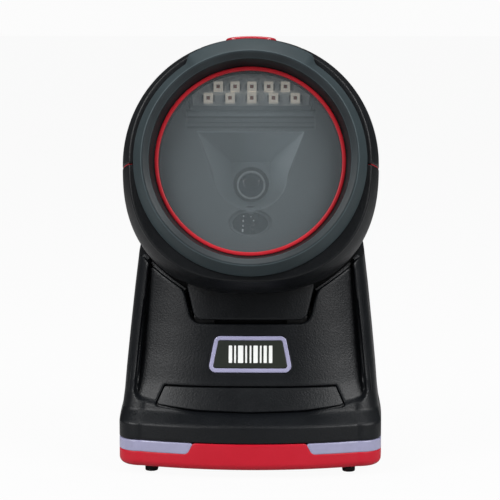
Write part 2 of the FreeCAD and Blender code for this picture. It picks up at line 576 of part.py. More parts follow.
def build_stand():
    outer = stand_solid()
    inner = stand_room(WALL)
    rim = base_prism(0.0, RIM_Z[0], RIM_Z[1]).cut(base_prism(WALL, RIM_Z[0] - 1, RIM_Z[1] + 1))
    skin = outer.cut(inner).cut(base_prism(4.0, 10.0, 19.6))
    skin = skin.fuse(rim)
    bosses, pilots = [], []
    for x, y in SCREW_SPOTS:
        side = 1 if x > 0 else -1
        rib = box(sorted((side * 38.0, side * 43.4)), (y - 0.9, y + 0.9), (13.0, 22.0))
        boss = rod(3.2, 13.8, (x, y, 8.2), (0, 0, 1)).fuse(rib)
        bosses.append(boss.common(outer.fuse(base_prism(1.0, 8.0, 17.6))))
        pilots.append(rod(1.2 + SOFT_FIT, 11.0, (x, y, 7.0), (0, 0, 1)))
    skin = skin.multiFuse(bosses)
    for pilot in pilots:
        skin = skin.cut(pilot)
    skin = skin.cut(front_prism(tongue_outline(NECK_GAP), -40.0, -12.0))
    skin = skin.cut(box((-21.5, 21.5), (-32.0, -6.0), (52.0, 66.0)))
    skin = skin.cut(front_prism(plate_outline(0.15), -46.0, -20.0).common(panel_solid(-1.0)))
    skin = skin.cut(front_prism(badge_outline(0.0), -40.0, -20.0))
    housing = skin.cut(front_prism(cover_outline(0.15), 28.0, 50.0))
    behind, edge = stand_room(WALL + 0.1), stand_room(1.0)
    for x, z in COVER_SCREWS:
        side = 1 if x > 0 else -1
        seat = rear_y(x, z)
        reach = box(sorted((side * 17.0, side * 30.5)), (seat - 6.5, 50.0), (z - 2.8, z + 2.8)).common(behind)
        root = box(sorted((side * 27.3, side * 30.5)), (seat - 6.5, 50.0), (z - 2.8, z + 2.8)).common(edge)
        housing = housing.fuse(reach).fuse(root)
        housing = housing.cut(rod(1.1 + SOFT_FIT, 12.0, (x, seat - 12.0, z)))
    save("stand_housing", housing)

    cover = skin.common(front_prism(cover_outline(-0.15), 28.0, 50.0))
    cover = cover.cut(box((-7.8, 7.8), (20.0, 60.0), (SOCKET_Z - 6.6, SOCKET_Z + 5.8)))
    for ring, count in ((0.0, 1), (3.4, 6), (6.8, 12)):
        for i in range(count):
            a = 2 * math.pi * i / count
            cover = cover.cut(rod(0.8, 30.0, (ring * math.cos(a), 25.0, SPEAKER_Z + ring * math.sin(a))))
    for x, z in COVER_SCREWS:
        cover = cover.cut(rod(2.5, 20.0, (x, rear_y(x, z) - 1.1, z))).cut(rod(1.3, 30.0, (x, 20.0, z)))
    save("stand_rear_cover", cover)
    screws = [screw((x, rear_y(x, z) - 1.1, z), (0, -1, 0), 6.0, 2.2, 1.1, 1.1) for x, z in COVER_SCREWS]
    save("rear_cover_screws", Part.makeCompound(screws))

    def surface_piece(outline, proud, deep):
        """A piece that follows the inset front surface, from proud in front of it to deep behind it."""
        prism = front_prism(outline, -50.0, -15.0)
        return panel_solid(-proud).cut(panel_solid(deep)).common(prism)

    save("front_plate", surface_piece(plate_outline(-0.15), 0.0, 1.7))
    ring = surface_piece(badge_outline(-0.05), 0.3, 2.2).cut(front_prism(badge_outline(-1.2), -60, -10))
    save("badge_light_ring", ring)
    save("badge_plate", surface_piece(badge_outline(-1.25), 0.1, 1.4))
    bars, x = [], -7.4
    for width, gap in BAR_CODE:
        bars.append(surface_piece(rounded([(x, 37.1), (x + width, 37.1), (x + width, 42.9), (x, 42.9)], [0] * 4),
                                  0.22, -0.1))
        x += width + gap
    save("badge_mark", Part.makeCompound(bars))

    tongue = surface_piece(tongue_outline(0.0), 0.0, 1.8)
    save("neck_cover", tongue)


BAR_CODE = [(1.2, 0.7), (0.6, 0.7), (1.8, 0.7), (0.6, 0.9), (0.6, 0.7), (1.5, 0.7), (0.6, 0.7), (1.1, 0.7), (1.2, 0.0)]


def rear_y(x, z):
    """The stand's rear surface."""
    return table(z, STAND_REAR) - x ** 2 / (2 * REAR_BOW_R)


# ---------------------------------------------------------------- base
FOOT_X, FOOT_Y = 33.9, 29.0


def strip_outline_front(grow):
    """Front view of a light strip: a slanted inner end and a rounded lower corner."""
    return rounded([(19.2 - grow, TRAY_Z[1] + 1.0), (20.0 - grow, TRAY_Z[1]), (21.4 - grow, 8.0 - grow),
                    (60.0, 8.0 - grow), (60.0, TRAY_Z[1] + 1.0)], [0, 0, 1.0, 0, 0])


def build_base():
    tray = base_prism(0.0, TRAY_Z[0] + TRAY_EDGE, TRAY_Z[1])
    turns = [math.radians(a) for a in (0, 30, 60, 90)]
    levels = [(TRAY_EDGE * (1 - math.sin(a)), TRAY_Z[0] + TRAY_EDGE * (1 - math.cos(a))) for a in turns]
    for (in0, z0), (in1, z1) in zip(levels, levels[1:]):
        tray = tray.fuse(Part.makeLoft([base_wire(in0, z0), base_wire(in1, z1)], True, True))
    tray = tray.cut(base_prism(2.4, TRAY_FLOOR, TRAY_Z[1] + 1))
    bosses = [rod(4.4, 3.6, (x, y, TRAY_Z[0] + 1.0), (0, 0, 1)) for x, y in SCREW_SPOTS]
    tray = tray.multiFuse([b.common(base_prism(0.5, 2.6, 8.0)) for b in bosses])
    for x, y in SCREW_SPOTS:
        tray = tray.cut(rod(2.7, 2.65, (x, y, TRAY_Z[0] - 0.6), (0, 0, 1)))
        tray = tray.cut(rod(1.35, 8.0, (x, y, TRAY_Z[0]), (0, 0, 1)))
    feet = []
    for sx in (1, -1):
        for sy in (1, -1):
            outline = rounded([(sx * FOOT_X - 2.2, sy * FOOT_Y - 7), (sx * FOOT_X + 2.2, sy * FOOT_Y - 7),
                               (sx * FOOT_X + 2.2, sy * FOOT_Y + 7), (sx * FOOT_X - 2.2, sy * FOOT_Y + 7)],
                              [2.15] * 4)
            feet.append(top_prism(outline, 0.0, 3.6))
            tray = tray.cut(top_prism(outline, 1.0, 3.65))
    save("rubber_feet", Part.makeCompound(feet))

    band = base_prism(0.0, 7.0, TRAY_Z[1]).cut(base_prism(1.6, 6.0, TRAY_Z[1] + 1))
    strip = band.common(front_prism(strip_outline_front(-0.1), -60.0, -9.0))
    tray = tray.cut(mirrored(front_prism(strip_outline_front(0.0), -60.0, -8.8).common(
        base_prism(-1.0, 6.0, TRAY_Z[1] + 2).cut(base_prism(1.65, 6.0, TRAY_Z[1] + 2)))))
    for x, y in BRACKET_SCREWS:
        tray = tray.cut(rod(1.2 + SOFT_FIT, 6.0, (x, y, 3.3), (0, 0, 1)))
    save("base_tray", tray)
    save("light_strip_right", strip)
    save("light_strip_left", strip.mirror(V(0, 0, 0), V(1, 0, 0)))
    led_bar = box((24.0, 36.0), (-36.0, -34.8), (7.6, 11.2))
    save("strip_led_boards", mirrored(led_bar))
    screws = [screw((x, y, TRAY_Z[0] + 2.05), (0, 0, 1), 11.0, 2.3, 1.6, 1.2) for x, y in SCREW_SPOTS]
    save("base_screws", Part.makeCompound(screws))
    ballast = box((-31.0, 31.0), (-20.0, 34.0), (TRAY_FLOOR, BALLAST_TOP))
    upright = [e for e in ballast.Edges if abs(e.Length - BALLAST_TOP + TRAY_FLOOR) < 1e-6]
    ballast = ballast.makeFillet(4.0, upright)
    for x, y in BRACKET_SCREWS:
        ballast = ballast.cut(rod(1.2 + SOFT_FIT, 9.0, (x, y, 3.0), (0, 0, 1)))
    save("ballast_plate", ballast)


# ---------------------------------------------------------------- hinge and neck
UPRIGHT_X = (20.3, 22.5)
AXLE_R = 1.75


def build_hinge():
    plate = box((-25.0, 25.0), (-16.0, 16.0), (BALLAST_TOP, 10.4))
    profile = [(-16.0, 8.2), (-23.3, 40.0), (-23.3, 54.0), (-15.0, 54.0), (-10.5, 40.0), (12.0, 10.4), (12.0, 8.2)]
    uprights = [side_prism(profile, s * UPRIGHT_X[0], s * UPRIGHT_X[1]) for s in (1, -1)]
    bracket = fused(plate, *uprights).cut(rod(AXLE_R + 0.05, 60.0, (-30, PIVOT_Y, PIVOT_Z), (1, 0, 0)))
    for x, y in BRACKET_SCREWS:
        bracket = bracket.cut(rod(1.3, 6.0, (x, y, 6.0), (0, 0, 1)))
    save("hinge_bracket", bracket)
    screws = [screw((x, y, 10.4), (0, 0, -1), 7.0, 2.3, 1.4, 1.2) for x, y in BRACKET_SCREWS]
    save("bracket_screws", Part.makeCompound(screws))

    save("tilt_axle", rod(AXLE_R, 48.6, (-24.3, PIVOT_Y, PIVOT_Z), (1, 0, 0)))
    washer = rod(3.2, 0.5, (UPRIGHT_X[0] - 0.5, PIVOT_Y, PIVOT_Z), (1, 0, 0)).cut(
        rod(AXLE_R + 0.02, 2.0, (19.0, PIVOT_Y, PIVOT_Z), (1, 0, 0)))
    save("friction_washers", mirrored(washer))

    arm = side_prism([(-24.0, 47.6), (-24.0, 51.5), (-27.2, 52.6), (-25.0, 72.0), (-11.5, 72.0), (-11.5, 55.0),
                      (-17.0, 47.0)], -19.5, 19.5).common(panel_solid(1.8))
    knuckle = rod(3.6, 39.0, (-19.5, PIVOT_Y, PIVOT_Z), (1, 0, 0))
    flange = placed(box((-21.0, 21.0), (14.0, 34.0), (-35.2, -33.0)))
    above = placed(box((-40, 40), (0, 60), (-33.0, 20)))
    arm = fused(arm, knuckle).cut(box((-12.5, 12.5), (-22.6, -13.5), (40.0, 80.0)))
    arm = arm.cut(box((-12.5, 12.5), (-30.0, -10.0), (40.0, 54.2))).cut(above)
    arm = arm.fuse(flange.cut(placed(box((-12.5, 12.5), (18.0, 30.0), (-40.0, -30.0))))).removeSplitter()
    for x in (16.0, -16.0):
        for d in (18.0, 27.0):
            arm = arm.cut(placed(rod(1.2 + SOFT_FIT, 12.0, (x, d, -38.5), (0, 0, 1))))
    arm = arm.cut(rod(AXLE_R, 60.0, (-30, PIVOT_Y, PIVOT_Z), (1, 0, 0)))
    save("neck_arm", arm)


# ---------------------------------------------------------------- electronics in the stand
def build_stand_inside():
    save("interface_board", box((-20.0, 20.0), (24.0, 25.2), (18.0, 46.0)))
    jack = box((-7.6, 7.6), (25.3, 40.6), (SOCKET_Z - 6.4, SOCKET_Z + 5.6))
    jack = jack.cut(box((-5.9, 5.9), (28.0, 50.0), (SOCKET_Z - 3.5, SOCKET_Z + 3.5)))
    jack = jack.cut(box((-3.1, 3.1), (28.0, 50.0), (SOCKET_Z - 5.2, SOCKET_Z - 3.4)))
    save("cable_socket", jack)
    pins = [box((-4.55 + 1.02 * i - 0.15, -4.55 + 1.02 * i + 0.15), (28.1, 36.0),
                (SOCKET_Z + 2.6, SOCKET_Z + 2.9)) for i in range(10)]
    save("socket_contacts", Part.makeCompound(pins))
    speaker = rod(9.5, 3.6, (0, 29.6, SPEAKER_Z)).fuse(rod(5.5, 2.4, (0, 27.3, SPEAKER_Z)))
    save("speaker", speaker.removeSplitter())
    save("indicator_board", box((-12.0, 12.0), (-26.2, -25.0), (34.5, 45.0)))
    leds = [box((x - 1.4, x + 1.4), (-27.4, -26.2), (z - 0.8, z + 0.8)) for x in (-9.5, 9.5) for z in (36.5, 43.5)]
    save("indicator_leds", Part.makeCompound(leds))


build_head_shells()
build_button()
build_window()
build_optics()
build_head_inside()
build_stand()
build_base()
build_hinge()
build_stand_inside()
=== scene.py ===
"""The looks of a hands-free presentation barcode scanner: a tilting ball head on a weighted desk stand.

Shapes are worked out in millimetres in the CAD model's frame: +Z is up, the scan window faces -Y and
the origin is on the desk under the middle of the base. Meshes are made in metres. The head has a frame
of its own: x to the right, u is the depth behind the front lip and w is up along the head.
"""

import logging
import math
from collections.abc import Callable, Sequence
from dataclasses import dataclass, field
from enum import Enum

import bpy
import numpy as np
from numpy.typing import NDArray
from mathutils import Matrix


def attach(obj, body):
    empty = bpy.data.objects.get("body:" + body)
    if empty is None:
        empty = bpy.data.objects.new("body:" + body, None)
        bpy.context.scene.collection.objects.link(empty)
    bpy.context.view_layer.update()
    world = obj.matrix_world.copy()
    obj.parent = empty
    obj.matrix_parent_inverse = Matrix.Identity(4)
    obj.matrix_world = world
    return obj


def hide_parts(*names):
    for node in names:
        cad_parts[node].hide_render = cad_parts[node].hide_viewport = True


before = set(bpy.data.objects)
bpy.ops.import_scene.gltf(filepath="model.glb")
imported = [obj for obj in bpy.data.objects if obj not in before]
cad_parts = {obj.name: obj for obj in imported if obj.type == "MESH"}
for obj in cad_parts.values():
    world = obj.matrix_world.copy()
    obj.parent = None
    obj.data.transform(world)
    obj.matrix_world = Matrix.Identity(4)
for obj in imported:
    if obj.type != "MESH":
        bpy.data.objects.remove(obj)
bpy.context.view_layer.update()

LOG = logging.getLogger("scanner")
MM = 0.001
Numbers = NDArray[np.float64]
Whole = NDArray[np.int64]
Field = Callable[[Numbers], Numbers]
Surface = Callable[[Numbers, Numbers], Numbers]
Pair = tuple[float, float]
Pairs = tuple[Pair, ...]
Triple = tuple[float, float, float]
Colour = tuple[float, float, float, float]
FAR = 50.0


# ------------------------------------------------------------------ meshes
@dataclass
class MeshData:
    """Corners in millimetres and faces as arrays of three or four corner numbers."""

    points: Numbers
    faces: list[Whole]

    def joined(self, *others: "MeshData") -> "MeshData":
        """Puts several meshes into one.

        Args:
            others: the meshes to add.

        Returns:
            One mesh that holds them all.
        """
        points, faces, start = [self.points], list(self.faces), len(self.points)
        for other in others:
            points.append(other.points)
            faces.extend(block + start for block in other.faces)
            start += len(other.points)
        return MeshData(np.concatenate(points), faces)

    def moved(self, turn: Numbers, shift: Numbers) -> "MeshData":
        """A copy whose points are turned by a 3 by 3 matrix and then shifted."""
        return MeshData(self.points @ turn.T + shift, list(self.faces))

    def facing_out(self) -> "MeshData":
        """Turns every face round if the closed mesh's volume, summed over corner pyramids, is negative."""
        total = 0.0
        for block in self.faces:
            for k in range(1, block.shape[1] - 1):
                a, b, c = (self.points[block[:, i]] for i in (0, k, k + 1))
                total += float(np.einsum("ij,ij->", a, np.cross(b, c)))
        if total < 0:
            return MeshData(self.points, [block[:, ::-1] for block in self.faces])
        return self


def without_repeats(quads: Whole) -> list[Whole]:
    """Turns quads that have two neighbouring corners in one place into triangles.

    Args:
        quads: faces of four corner numbers.

    Returns:
        The whole quads and the triangles, as two arrays.
    """
    following = np.roll(quads, -1, axis=1)
    same = quads == following
    whole = quads[~same.any(axis=1)]
    bent = quads[same.sum(axis=1) == 1]
    drop = np.argmax(bent == np.roll(bent, -1, axis=1), axis=1)
    order = (drop[:, None] + np.array([1, 2, 3])) % 4
    return [whole, np.take_along_axis(bent, order, axis=1)]


def grid_faces(rows: int, cols: int, wrap_rows: bool, wrap_cols: bool) -> Whole:
    """Numbers the quads of a grid of corners, whose last row or column may join the first."""
    r = np.arange(rows if wrap_rows else rows - 1)
    c = np.arange(cols if wrap_cols else cols - 1)
    rr, cc = (a.ravel() for a in np.meshgrid(r, c, indexing="ij"))
    up, on = (rr + 1) % rows, (cc + 1) % cols
    return np.stack([rr * cols + cc, rr * cols + on, up * cols + on, up * cols + cc], axis=1)


def closed_grid(points: Numbers, wrap_rows: bool = False) -> MeshData:
    """Closes a (rows, columns, 3) grid whose columns go round and whose end rows are poles or join up.

    Args:
        points: the grid; corners that share a place become one.
        wrap_rows: joins the last row to the first.

    Returns:
        A closed mesh that faces outwards.
    """
    rows, cols = points.shape[:2]
    flat = points.reshape(-1, 3)
    kept, first, back = np.unique(np.round(flat, 5), axis=0, return_index=True, return_inverse=True)
    quads = back.reshape(-1)[grid_faces(rows, cols, wrap_rows, True)]
    return MeshData(flat[first], without_repeats(quads)).facing_out()


@dataclass(frozen=True)
class Sheet:
    """A curved surface over two lists of parameters; its outer side is where u crossed with v points."""

    surface: Surface
    u: Numbers
    v: Numbers
    wrap: bool = False

    @property
    def cols(self) -> int:
        """The number of columns of corners."""
        return len(self.u) - (1 if self.wrap else 0)

    def at(self, i: Numbers, j: Numbers) -> Numbers:
        """The surface's points at fractional column and row numbers, found by straight-line lookup."""
        span = len(self.u) - 1
        column = np.mod(i, span) if self.wrap else np.clip(i, 0, span)
        u = np.interp(column, np.arange(len(self.u)), self.u)
        v = np.interp(j, np.arange(len(self.v)), self.v)
        return self.surface(u, v)


def settle_on_edge(sheet: Sheet, inside: Field, values: Numbers, points: Numbers) -> None:
    """Moves the grid corners next to an outline onto it, by Newton steps along the field's slope.

    Args:
        sheet: the surface.
        inside: positive where the surface is kept, and 0 on its outline.
        values: the field at each corner, as (rows, columns); moved corners become 0.
        points: the corners, as (rows, columns, 3); changed in place.
    """
    rows, cols = values.shape
    near = np.zeros(values.shape, dtype=bool)
    for axis, limit in ((0, rows), (1, cols)):
        for step in (1, -1):
            other = np.roll(values, -step, axis)
            crossing = ((values > 0) != (other > 0)) & (np.abs(values) <= np.abs(other))
            place = np.arange(limit)
            real = (place + step >= 0) & (place + step < limit)
            if axis == 1 and sheet.wrap:
                real[:] = True
            near |= crossing & (real[:, None] if axis == 0 else real[None, :])
    j0, i0 = (a.astype(float) for a in np.nonzero(near))
    i, j, h = i0.copy(), j0.copy(), 0.04
    for _ in range(6):
        value = inside(sheet.at(i, j))
        slope_i = (inside(sheet.at(i + h, j)) - inside(sheet.at(i - h, j))) / (2 * h)
        slope_j = (inside(sheet.at(i, j + h)) - inside(sheet.at(i, j - h))) / (2 * h)
        size = slope_i ** 2 + slope_j ** 2 + 1e-9
        i = i0 + np.clip(i - np.clip(value * slope_i / size, -0.5, 0.5) - i0, -0.85, 0.85)
        j = j0 + np.clip(j - np.clip(value * slope_j / size, -0.5, 0.5) - j0, -0.85, 0.85)
        j = np.clip(j, 0, rows - 1)
        if not sheet.wrap:
            i = np.clip(i, 0, cols - 1)
    points[near] = sheet.at(i, j)
    values[near] = 0.0


def kept_faces(values: Numbers, points: Numbers, quads: Whole, inside: Field) -> list[Whole]:
    """The quads inside the outline, and triangles where the outline cuts a corner off.

    Args:
        values: the field at each corner, 0 on the outline.
        points: the corners.
        quads: all the grid's quads.
        inside: the field, asked again in the middle of faces that only touch the outline.

    Returns:
        Arrays of quads and triangles.
    """
    good = values[quads] >= 0
    count = good.sum(axis=1)
    firm = (values[quads] > 0).any(axis=1)
    middle = (points[quads] * good[:, :, None]).sum(axis=1) / np.maximum(count, 1)[:, None]
    sure = firm | (inside(middle) > 0)
    whole = quads[(count == 4) & sure]
    part = (count == 3) & sure
    missing = np.argmin(good[part], axis=1)
    order = (missing[:, None] + np.array([1, 2, 3])) % 4
    return without_repeats(whole) + [np.take_along_axis(quads[part], order, axis=1)]


def corner_normals(points: Numbers, faces: list[Whole]) -> Numbers:
    """Unit normals at the corners: the sum of the neighbouring faces' area vectors."""
    normals = np.zeros_like(points)
    for block in faces:
        for k in range(1, block.shape[1] - 1):
            a, b, c = (points[block[:, i]] for i in (0, k, k + 1))
            area = np.cross(b - a, c - a)
            for i in (0, k, k + 1):
                np.add.at(normals, block[:, i], area)
    return normals / np.maximum(np.linalg.norm(normals, axis=1, keepdims=True), 1e-12)


def trimmed_shell(sheet: Sheet, keep: Field, thick: float, edge: float, rounds: int = 3) -> MeshData:
    """Cuts a surface to an outline and gives it a wall with a rounded outer rim.

    The rim starts one rounding inside the outline. It follows a quarter circle, the corner plus the
    outward direction times edge sin(a) minus the normal times edge (1 - cos(a)), and then the wall.

    Args:
        sheet: the outer surface.
        keep: the distance inside the outline, in millimetres, positive where the surface is kept.
        thick: the wall's thickness.
        edge: the radius of the rim's rounding.
        rounds: the number of steps in the rounding.

    Returns:
        A closed mesh.
    """
    def inside(p: Numbers) -> Numbers:
        """The field measured from where the rim starts."""
        return keep(p) - edge

    rows, cols = len(sheet.v), sheet.cols
    jj, ii = np.meshgrid(np.arange(rows, dtype=float), np.arange(cols, dtype=float), indexing="ij")
    grid = sheet.at(ii.ravel(), jj.ravel()).reshape(rows, cols, 3)
    values = inside(grid.reshape(-1, 3)).reshape(rows, cols)
    settle_on_edge(sheet, inside, values, grid)
    flat = grid.reshape(-1, 3)
    _, first, back = np.unique(np.round(flat, 5), axis=0, return_index=True, return_inverse=True)
    quads = back.reshape(-1)[grid_faces(rows, cols, False, sheet.wrap)]
    faces = kept_faces(values.ravel()[first], flat[first], quads, inside)
    used = np.unique(np.concatenate([block.ravel() for block in faces]))
    number = np.full(len(first), -1, dtype=np.int64)
    number[used] = np.arange(len(used))
    outer = flat[first][used]
    faces = [number[block] for block in faces]
    normals = corner_normals(outer, faces)
    total = len(outer)

    pairs = np.concatenate([np.stack([block, np.roll(block, -1, axis=1)], axis=2).reshape(-1, 2)
                            for block in faces])
    lone = ~np.isin(pairs[:, 0] * total + pairs[:, 1], pairs[:, 1] * total + pairs[:, 0])
    rim = pairs[lone]
    along = outer[rim[:, 1]] - outer[rim[:, 0]]
    along /= np.maximum(np.linalg.norm(along, axis=1, keepdims=True), 1e-12)
    tangent = np.zeros_like(outer)
    np.add.at(tangent, rim[:, 0], along)
    np.add.at(tangent, rim[:, 1], along)
    border = np.unique(rim)
    away = np.cross(tangent[border], normals[border])
    away /= np.maximum(np.linalg.norm(away, axis=1, keepdims=True), 1e-12)
    base, up = outer[border], normals[border]
    rings = [base + away * edge * math.sin(a) - up * edge * (1 - math.cos(a))
             for a in np.linspace(0, math.pi / 2, rounds + 1)[1:]]
    rings.append(base + away * edge - up * thick)
    place = np.full(total, -1, dtype=np.int64)
    place[border] = np.arange(len(border))
    a, b = place[rim[:, 0]], place[rim[:, 1]]
    inner = outer - normals * thick
    starts = [2 * total + k * len(border) for k in range(len(rings))]
    levels = [border] + [start + np.arange(len(border)) for start in starts] + [border + total]
    walls = [np.stack([low[b], low[a], high[a], high[b]], axis=1) for low, high in zip(levels, levels[1:])]
    backs = [block[:, ::-1] + total for block in faces]
    return MeshData(np.concatenate([outer, inner] + rings), faces + walls + backs)


def rounded_path(corners: Sequence[Pair], radii: Sequence[float], closed: bool, steps: int = 4) -> Numbers:
    """A path through corners, each replaced by the arc of its radius that touches both of its sides.

    Args:
        corners: the corners in order.
        radii: one radius for each corner; 0 keeps it sharp.
        closed: joins the last corner to the first.
        steps: the number of steps in each arc.

    Returns:
        The path's points.
    """
    path: list[Numbers] = []
    spots = [np.array(c, dtype=float) for c in corners]
    for k, (spot, radius) in enumerate(zip(spots, radii)):
        if radius <= 0 or (not closed and k in (0, len(spots) - 1)):
            path.append(spot[None, :])
            continue
        before = spots[k - 1] - spot
        after = spots[(k + 1) % len(spots)] - spot
        before, after = before / np.linalg.norm(before), after / np.linalg.norm(after)
        half = math.acos(float(np.clip(before @ after, -1, 1))) / 2
        inward = (before + after) / np.linalg.norm(before + after)
        centre = spot + inward * radius / math.sin(half)
        start = spot + before * radius / math.tan(half) - centre
        end = spot + after * radius / math.tan(half) - centre
        t = np.linspace(0, 1, steps + 1)[:, None]
        arc = start * (1 - t) + end * t
        path.append(centre + arc * radius / np.linalg.norm(arc, axis=1, keepdims=True))
    return np.concatenate(path)


def convex_distance(p: Numbers, corners: Sequence[Pair], radius: float, grow: float = 0.0) -> Numbers:
    """Signed distance to a convex outline with rounded corners: negative inside it.

    The outline is drawn in by the radius, the distance to its nearest side is taken, and the radius
    and the growth are taken off again.

    Args:
        p: points, as (n, 2).
        corners: the sharp outline's corners, anticlockwise.
        radius: the radius of its corners.
        grow: moves the outline outwards.

    Returns:
        The distance at each point.
    """
    c = np.array(corners, dtype=float)
    step = np.roll(c, -1, axis=0) - c
    step /= np.linalg.norm(step, axis=1, keepdims=True)
    inward = np.stack([-step[:, 1], step[:, 0]], axis=1)
    drawn = []
    for k in range(len(c)):
        before = inward[k - 1]
        lines = np.stack([before, inward[k]])
        reach = lines @ c[k] + radius
        drawn.append(np.linalg.solve(lines, reach))
    spots = np.array(drawn)
    best = np.full(len(p), np.inf)
    within = np.ones(len(p), dtype=bool)
    for k in range(len(spots)):
        a, b = spots[k], spots[(k + 1) % len(spots)]
        side = b - a
        t = np.clip(((p - a) @ side) / max(float(side @ side), 1e-9), 0, 1)
        best = np.minimum(best, np.linalg.norm(p - a - t[:, None] * side, axis=1))
        within &= (p - a) @ inward[k] > 0
    return np.where(within, -best, best) - radius - grow


def rectangle(half: float, low: float, high: float) -> Pairs:
    """The corners of a rectangle centred across, anticlockwise from its lower left."""
    return ((-half, low), (half, low), (half, high), (-half, high))


@dataclass(frozen=True)
class Outline:
    """A convex outline with rounded corners, seen from the front."""

    corners: Pairs
    radius: float

    def outside(self, p: Numbers, grow: float = 0.0) -> Numbers:
        """Distance outside the outline when it is grown."""
        return convex_distance(p[:, ::2], self.corners, self.radius, grow)

    def inside(self, p: Numbers, grow: float = 0.0) -> Numbers:
        """Distance inside the outline when it is grown."""
        return -self.outside(p, grow)


def soft_table(z: Numbers, rows: Sequence[Pair], soften: float) -> Numbers:
    """Straight-line lookup in (z, value) rows whose bends are rounded by averaging over nearby heights."""
    table = np.array(rows)
    taps = np.linspace(-soften, soften, 7)
    return np.mean([np.interp(z + tap, table[:, 0], table[:, 1]) for tap in taps], axis=0)


def soft_min(a: Numbers, b: Numbers, k: float) -> Numbers:
    """The smaller of two fields with a rounded crossing: min(a, b) - h^2 / 4k, h = max(k - |a - b|, 0)."""
    h = np.maximum(k - np.abs(a - b), 0)
    return np.minimum(a, b) - h * h / (4 * k)


def smooth_step(x: Numbers) -> Numbers:
    """0 below 0, 1 above 1, and 3x^2 - 2x^3 between them."""
    t = np.clip(x, 0, 1)
    return t * t * (3 - 2 * t)


def stacked(half_x: float, half_y: float, radius: float, rows: Sequence[Pair], turns: int = 6) -> MeshData:
    """A rounded block: a rounded rectangle carried up a path of (inset, height), closed at both ends.

    Args:
        half_x: half the length along x.
        half_y: half the length along y.
        radius: the radius of the upright corners.
        rows: the path from the bottom centre to the top centre, as inset and height.
        turns: the number of steps in a quarter turn.

    Returns:
        A closed mesh that stands on the XY plane.
    """
    quarter = np.linspace(0, math.pi / 2, turns + 1)
    angle = np.concatenate([quarter + k * math.pi / 2 for k in range(4)])
    sign_x = np.repeat([1.0, -1.0, -1.0, 1.0], turns + 1)
    sign_y = np.repeat([1.0, 1.0, -1.0, -1.0], turns + 1)
    grid = []
    for inset, height in rows:
        r = max(radius - inset, 0.02)
        x = np.maximum(half_x - inset - r, 0) * sign_x + r * np.cos(angle)
        y = np.maximum(half_y - inset - r, 0) * sign_y + r * np.sin(angle)
        grid.append(np.stack([x, y, np.full_like(x, height)], axis=1))
    bottom, top = np.zeros_like(grid[0]), np.zeros_like(grid[0])
    bottom[:, 2], top[:, 2] = rows[0][1], rows[-1][1]
    return closed_grid(np.stack([bottom] + grid + [top]))


def make_piece(name: str, data: MeshData, crease: float = 40.0) -> bpy.types.Object:
    """Makes a Blender object from a mesh in millimetres.

    Args:
        name: the piece's name.
        data: its corners and faces.
        crease: the angle in degrees past which an edge is shaded sharp.

    Returns:
        The new object, in the scene.
    """
    mesh = bpy.data.meshes.new(name)
    mesh.from_pydata((data.points * MM).tolist(), [], [f for block in data.faces for f in block.tolist()])
    mesh.polygons.foreach_set("use_smooth", np.ones(len(mesh.polygons), dtype=bool))
    mesh.set_sharp_from_angle(angle=math.radians(crease))
    piece = bpy.data.objects.new(name, mesh)
    bpy.context.scene.collection.objects.link(piece)
    return piece


# ------------------------------------------------------------------ shader maths
class Sock:
    """A shader socket, or a number, that adds Math nodes when it is used in an expression."""

    def __init__(self, shader: "Shader", source: bpy.types.NodeSocket | float) -> None:
        """Keeps the material and the socket or number."""
        self.shader = shader
        self.source = source

    def _math(self, operation: str, *values: "Sock | float", clamp: bool = False) -> "Sock":
        """Adds one Math node."""
        node = self.shader.node("ShaderNodeMath", {"operation": operation, "use_clamp": clamp},
                                dict(enumerate(values)))
        return Sock(self.shader, node.outputs[0])

    def __add__(self, other: "Sock | float") -> "Sock":
        """self + other."""
        return self._math("ADD", self, other)

    __radd__ = __add__

    def __mul__(self, other: "Sock | float") -> "Sock":
        """self * other."""
        return self._math("MULTIPLY", self, other)

    __rmul__ = __mul__

    def __sub__(self, other: "Sock | float") -> "Sock":
        """self - other."""
        return self._math("SUBTRACT", self, other)

    def __rsub__(self, other: float) -> "Sock":
        """other - self."""
        return self._math("SUBTRACT", other, self)

    def clamped(self) -> "Sock":
        """self held between 0 and 1."""
        return self._math("ADD", self, 0.0, clamp=True)

    def size(self) -> "Sock":
        """self without its sign."""
        return self._math("ABSOLUTE", self)

    def power(self, exponent: float) -> "Sock":
        """self to a power."""
        return self._math("POWER", self, exponent)

    def sine(self) -> "Sock":
        """The sine of self, taken as radians."""
        return self._math("SINE", self)

    def at_least(self, bound: float) -> "Sock":
        """self, or the bound where self is less."""
        return self._math("MAXIMUM", self, bound)

    def at_most(self, bound: float) -> "Sock":
        """self, or the bound where self is more."""
        return self._math("MINIMUM", self, bound)

    def length(self, other: "Sock") -> "Sock":
        """The square root of self^2 + other^2."""
        return (self.power(2.0) + other.power(2.0)).power(0.5)

    def band(self, low: float, high: float) -> "Sock":
        """0 below low, 1 above high, straight between."""
        return ((self - low) * (1.0 / (high - low))).clamped()


Value = Sock | float | tuple[float, ...]


def linear(red: float, green: float, blue: float) -> Colour:
    """A colour from display values between 0 and 255, as the linear values that shaders take."""
    parts = [c / 255.0 for c in (red, green, blue)]
    lit = [c / 12.92 if c <= 0.04045 else ((c + 0.055) / 1.055) ** 2.4 for c in parts]
    return (lit[0], lit[1], lit[2], 1.0)


def shaded(colour: Colour, factor: float) -> Colour:
    """A colour with its linear values multiplied by a factor."""
    return (colour[0] * factor, colour[1] * factor, colour[2] * factor, 1.0)


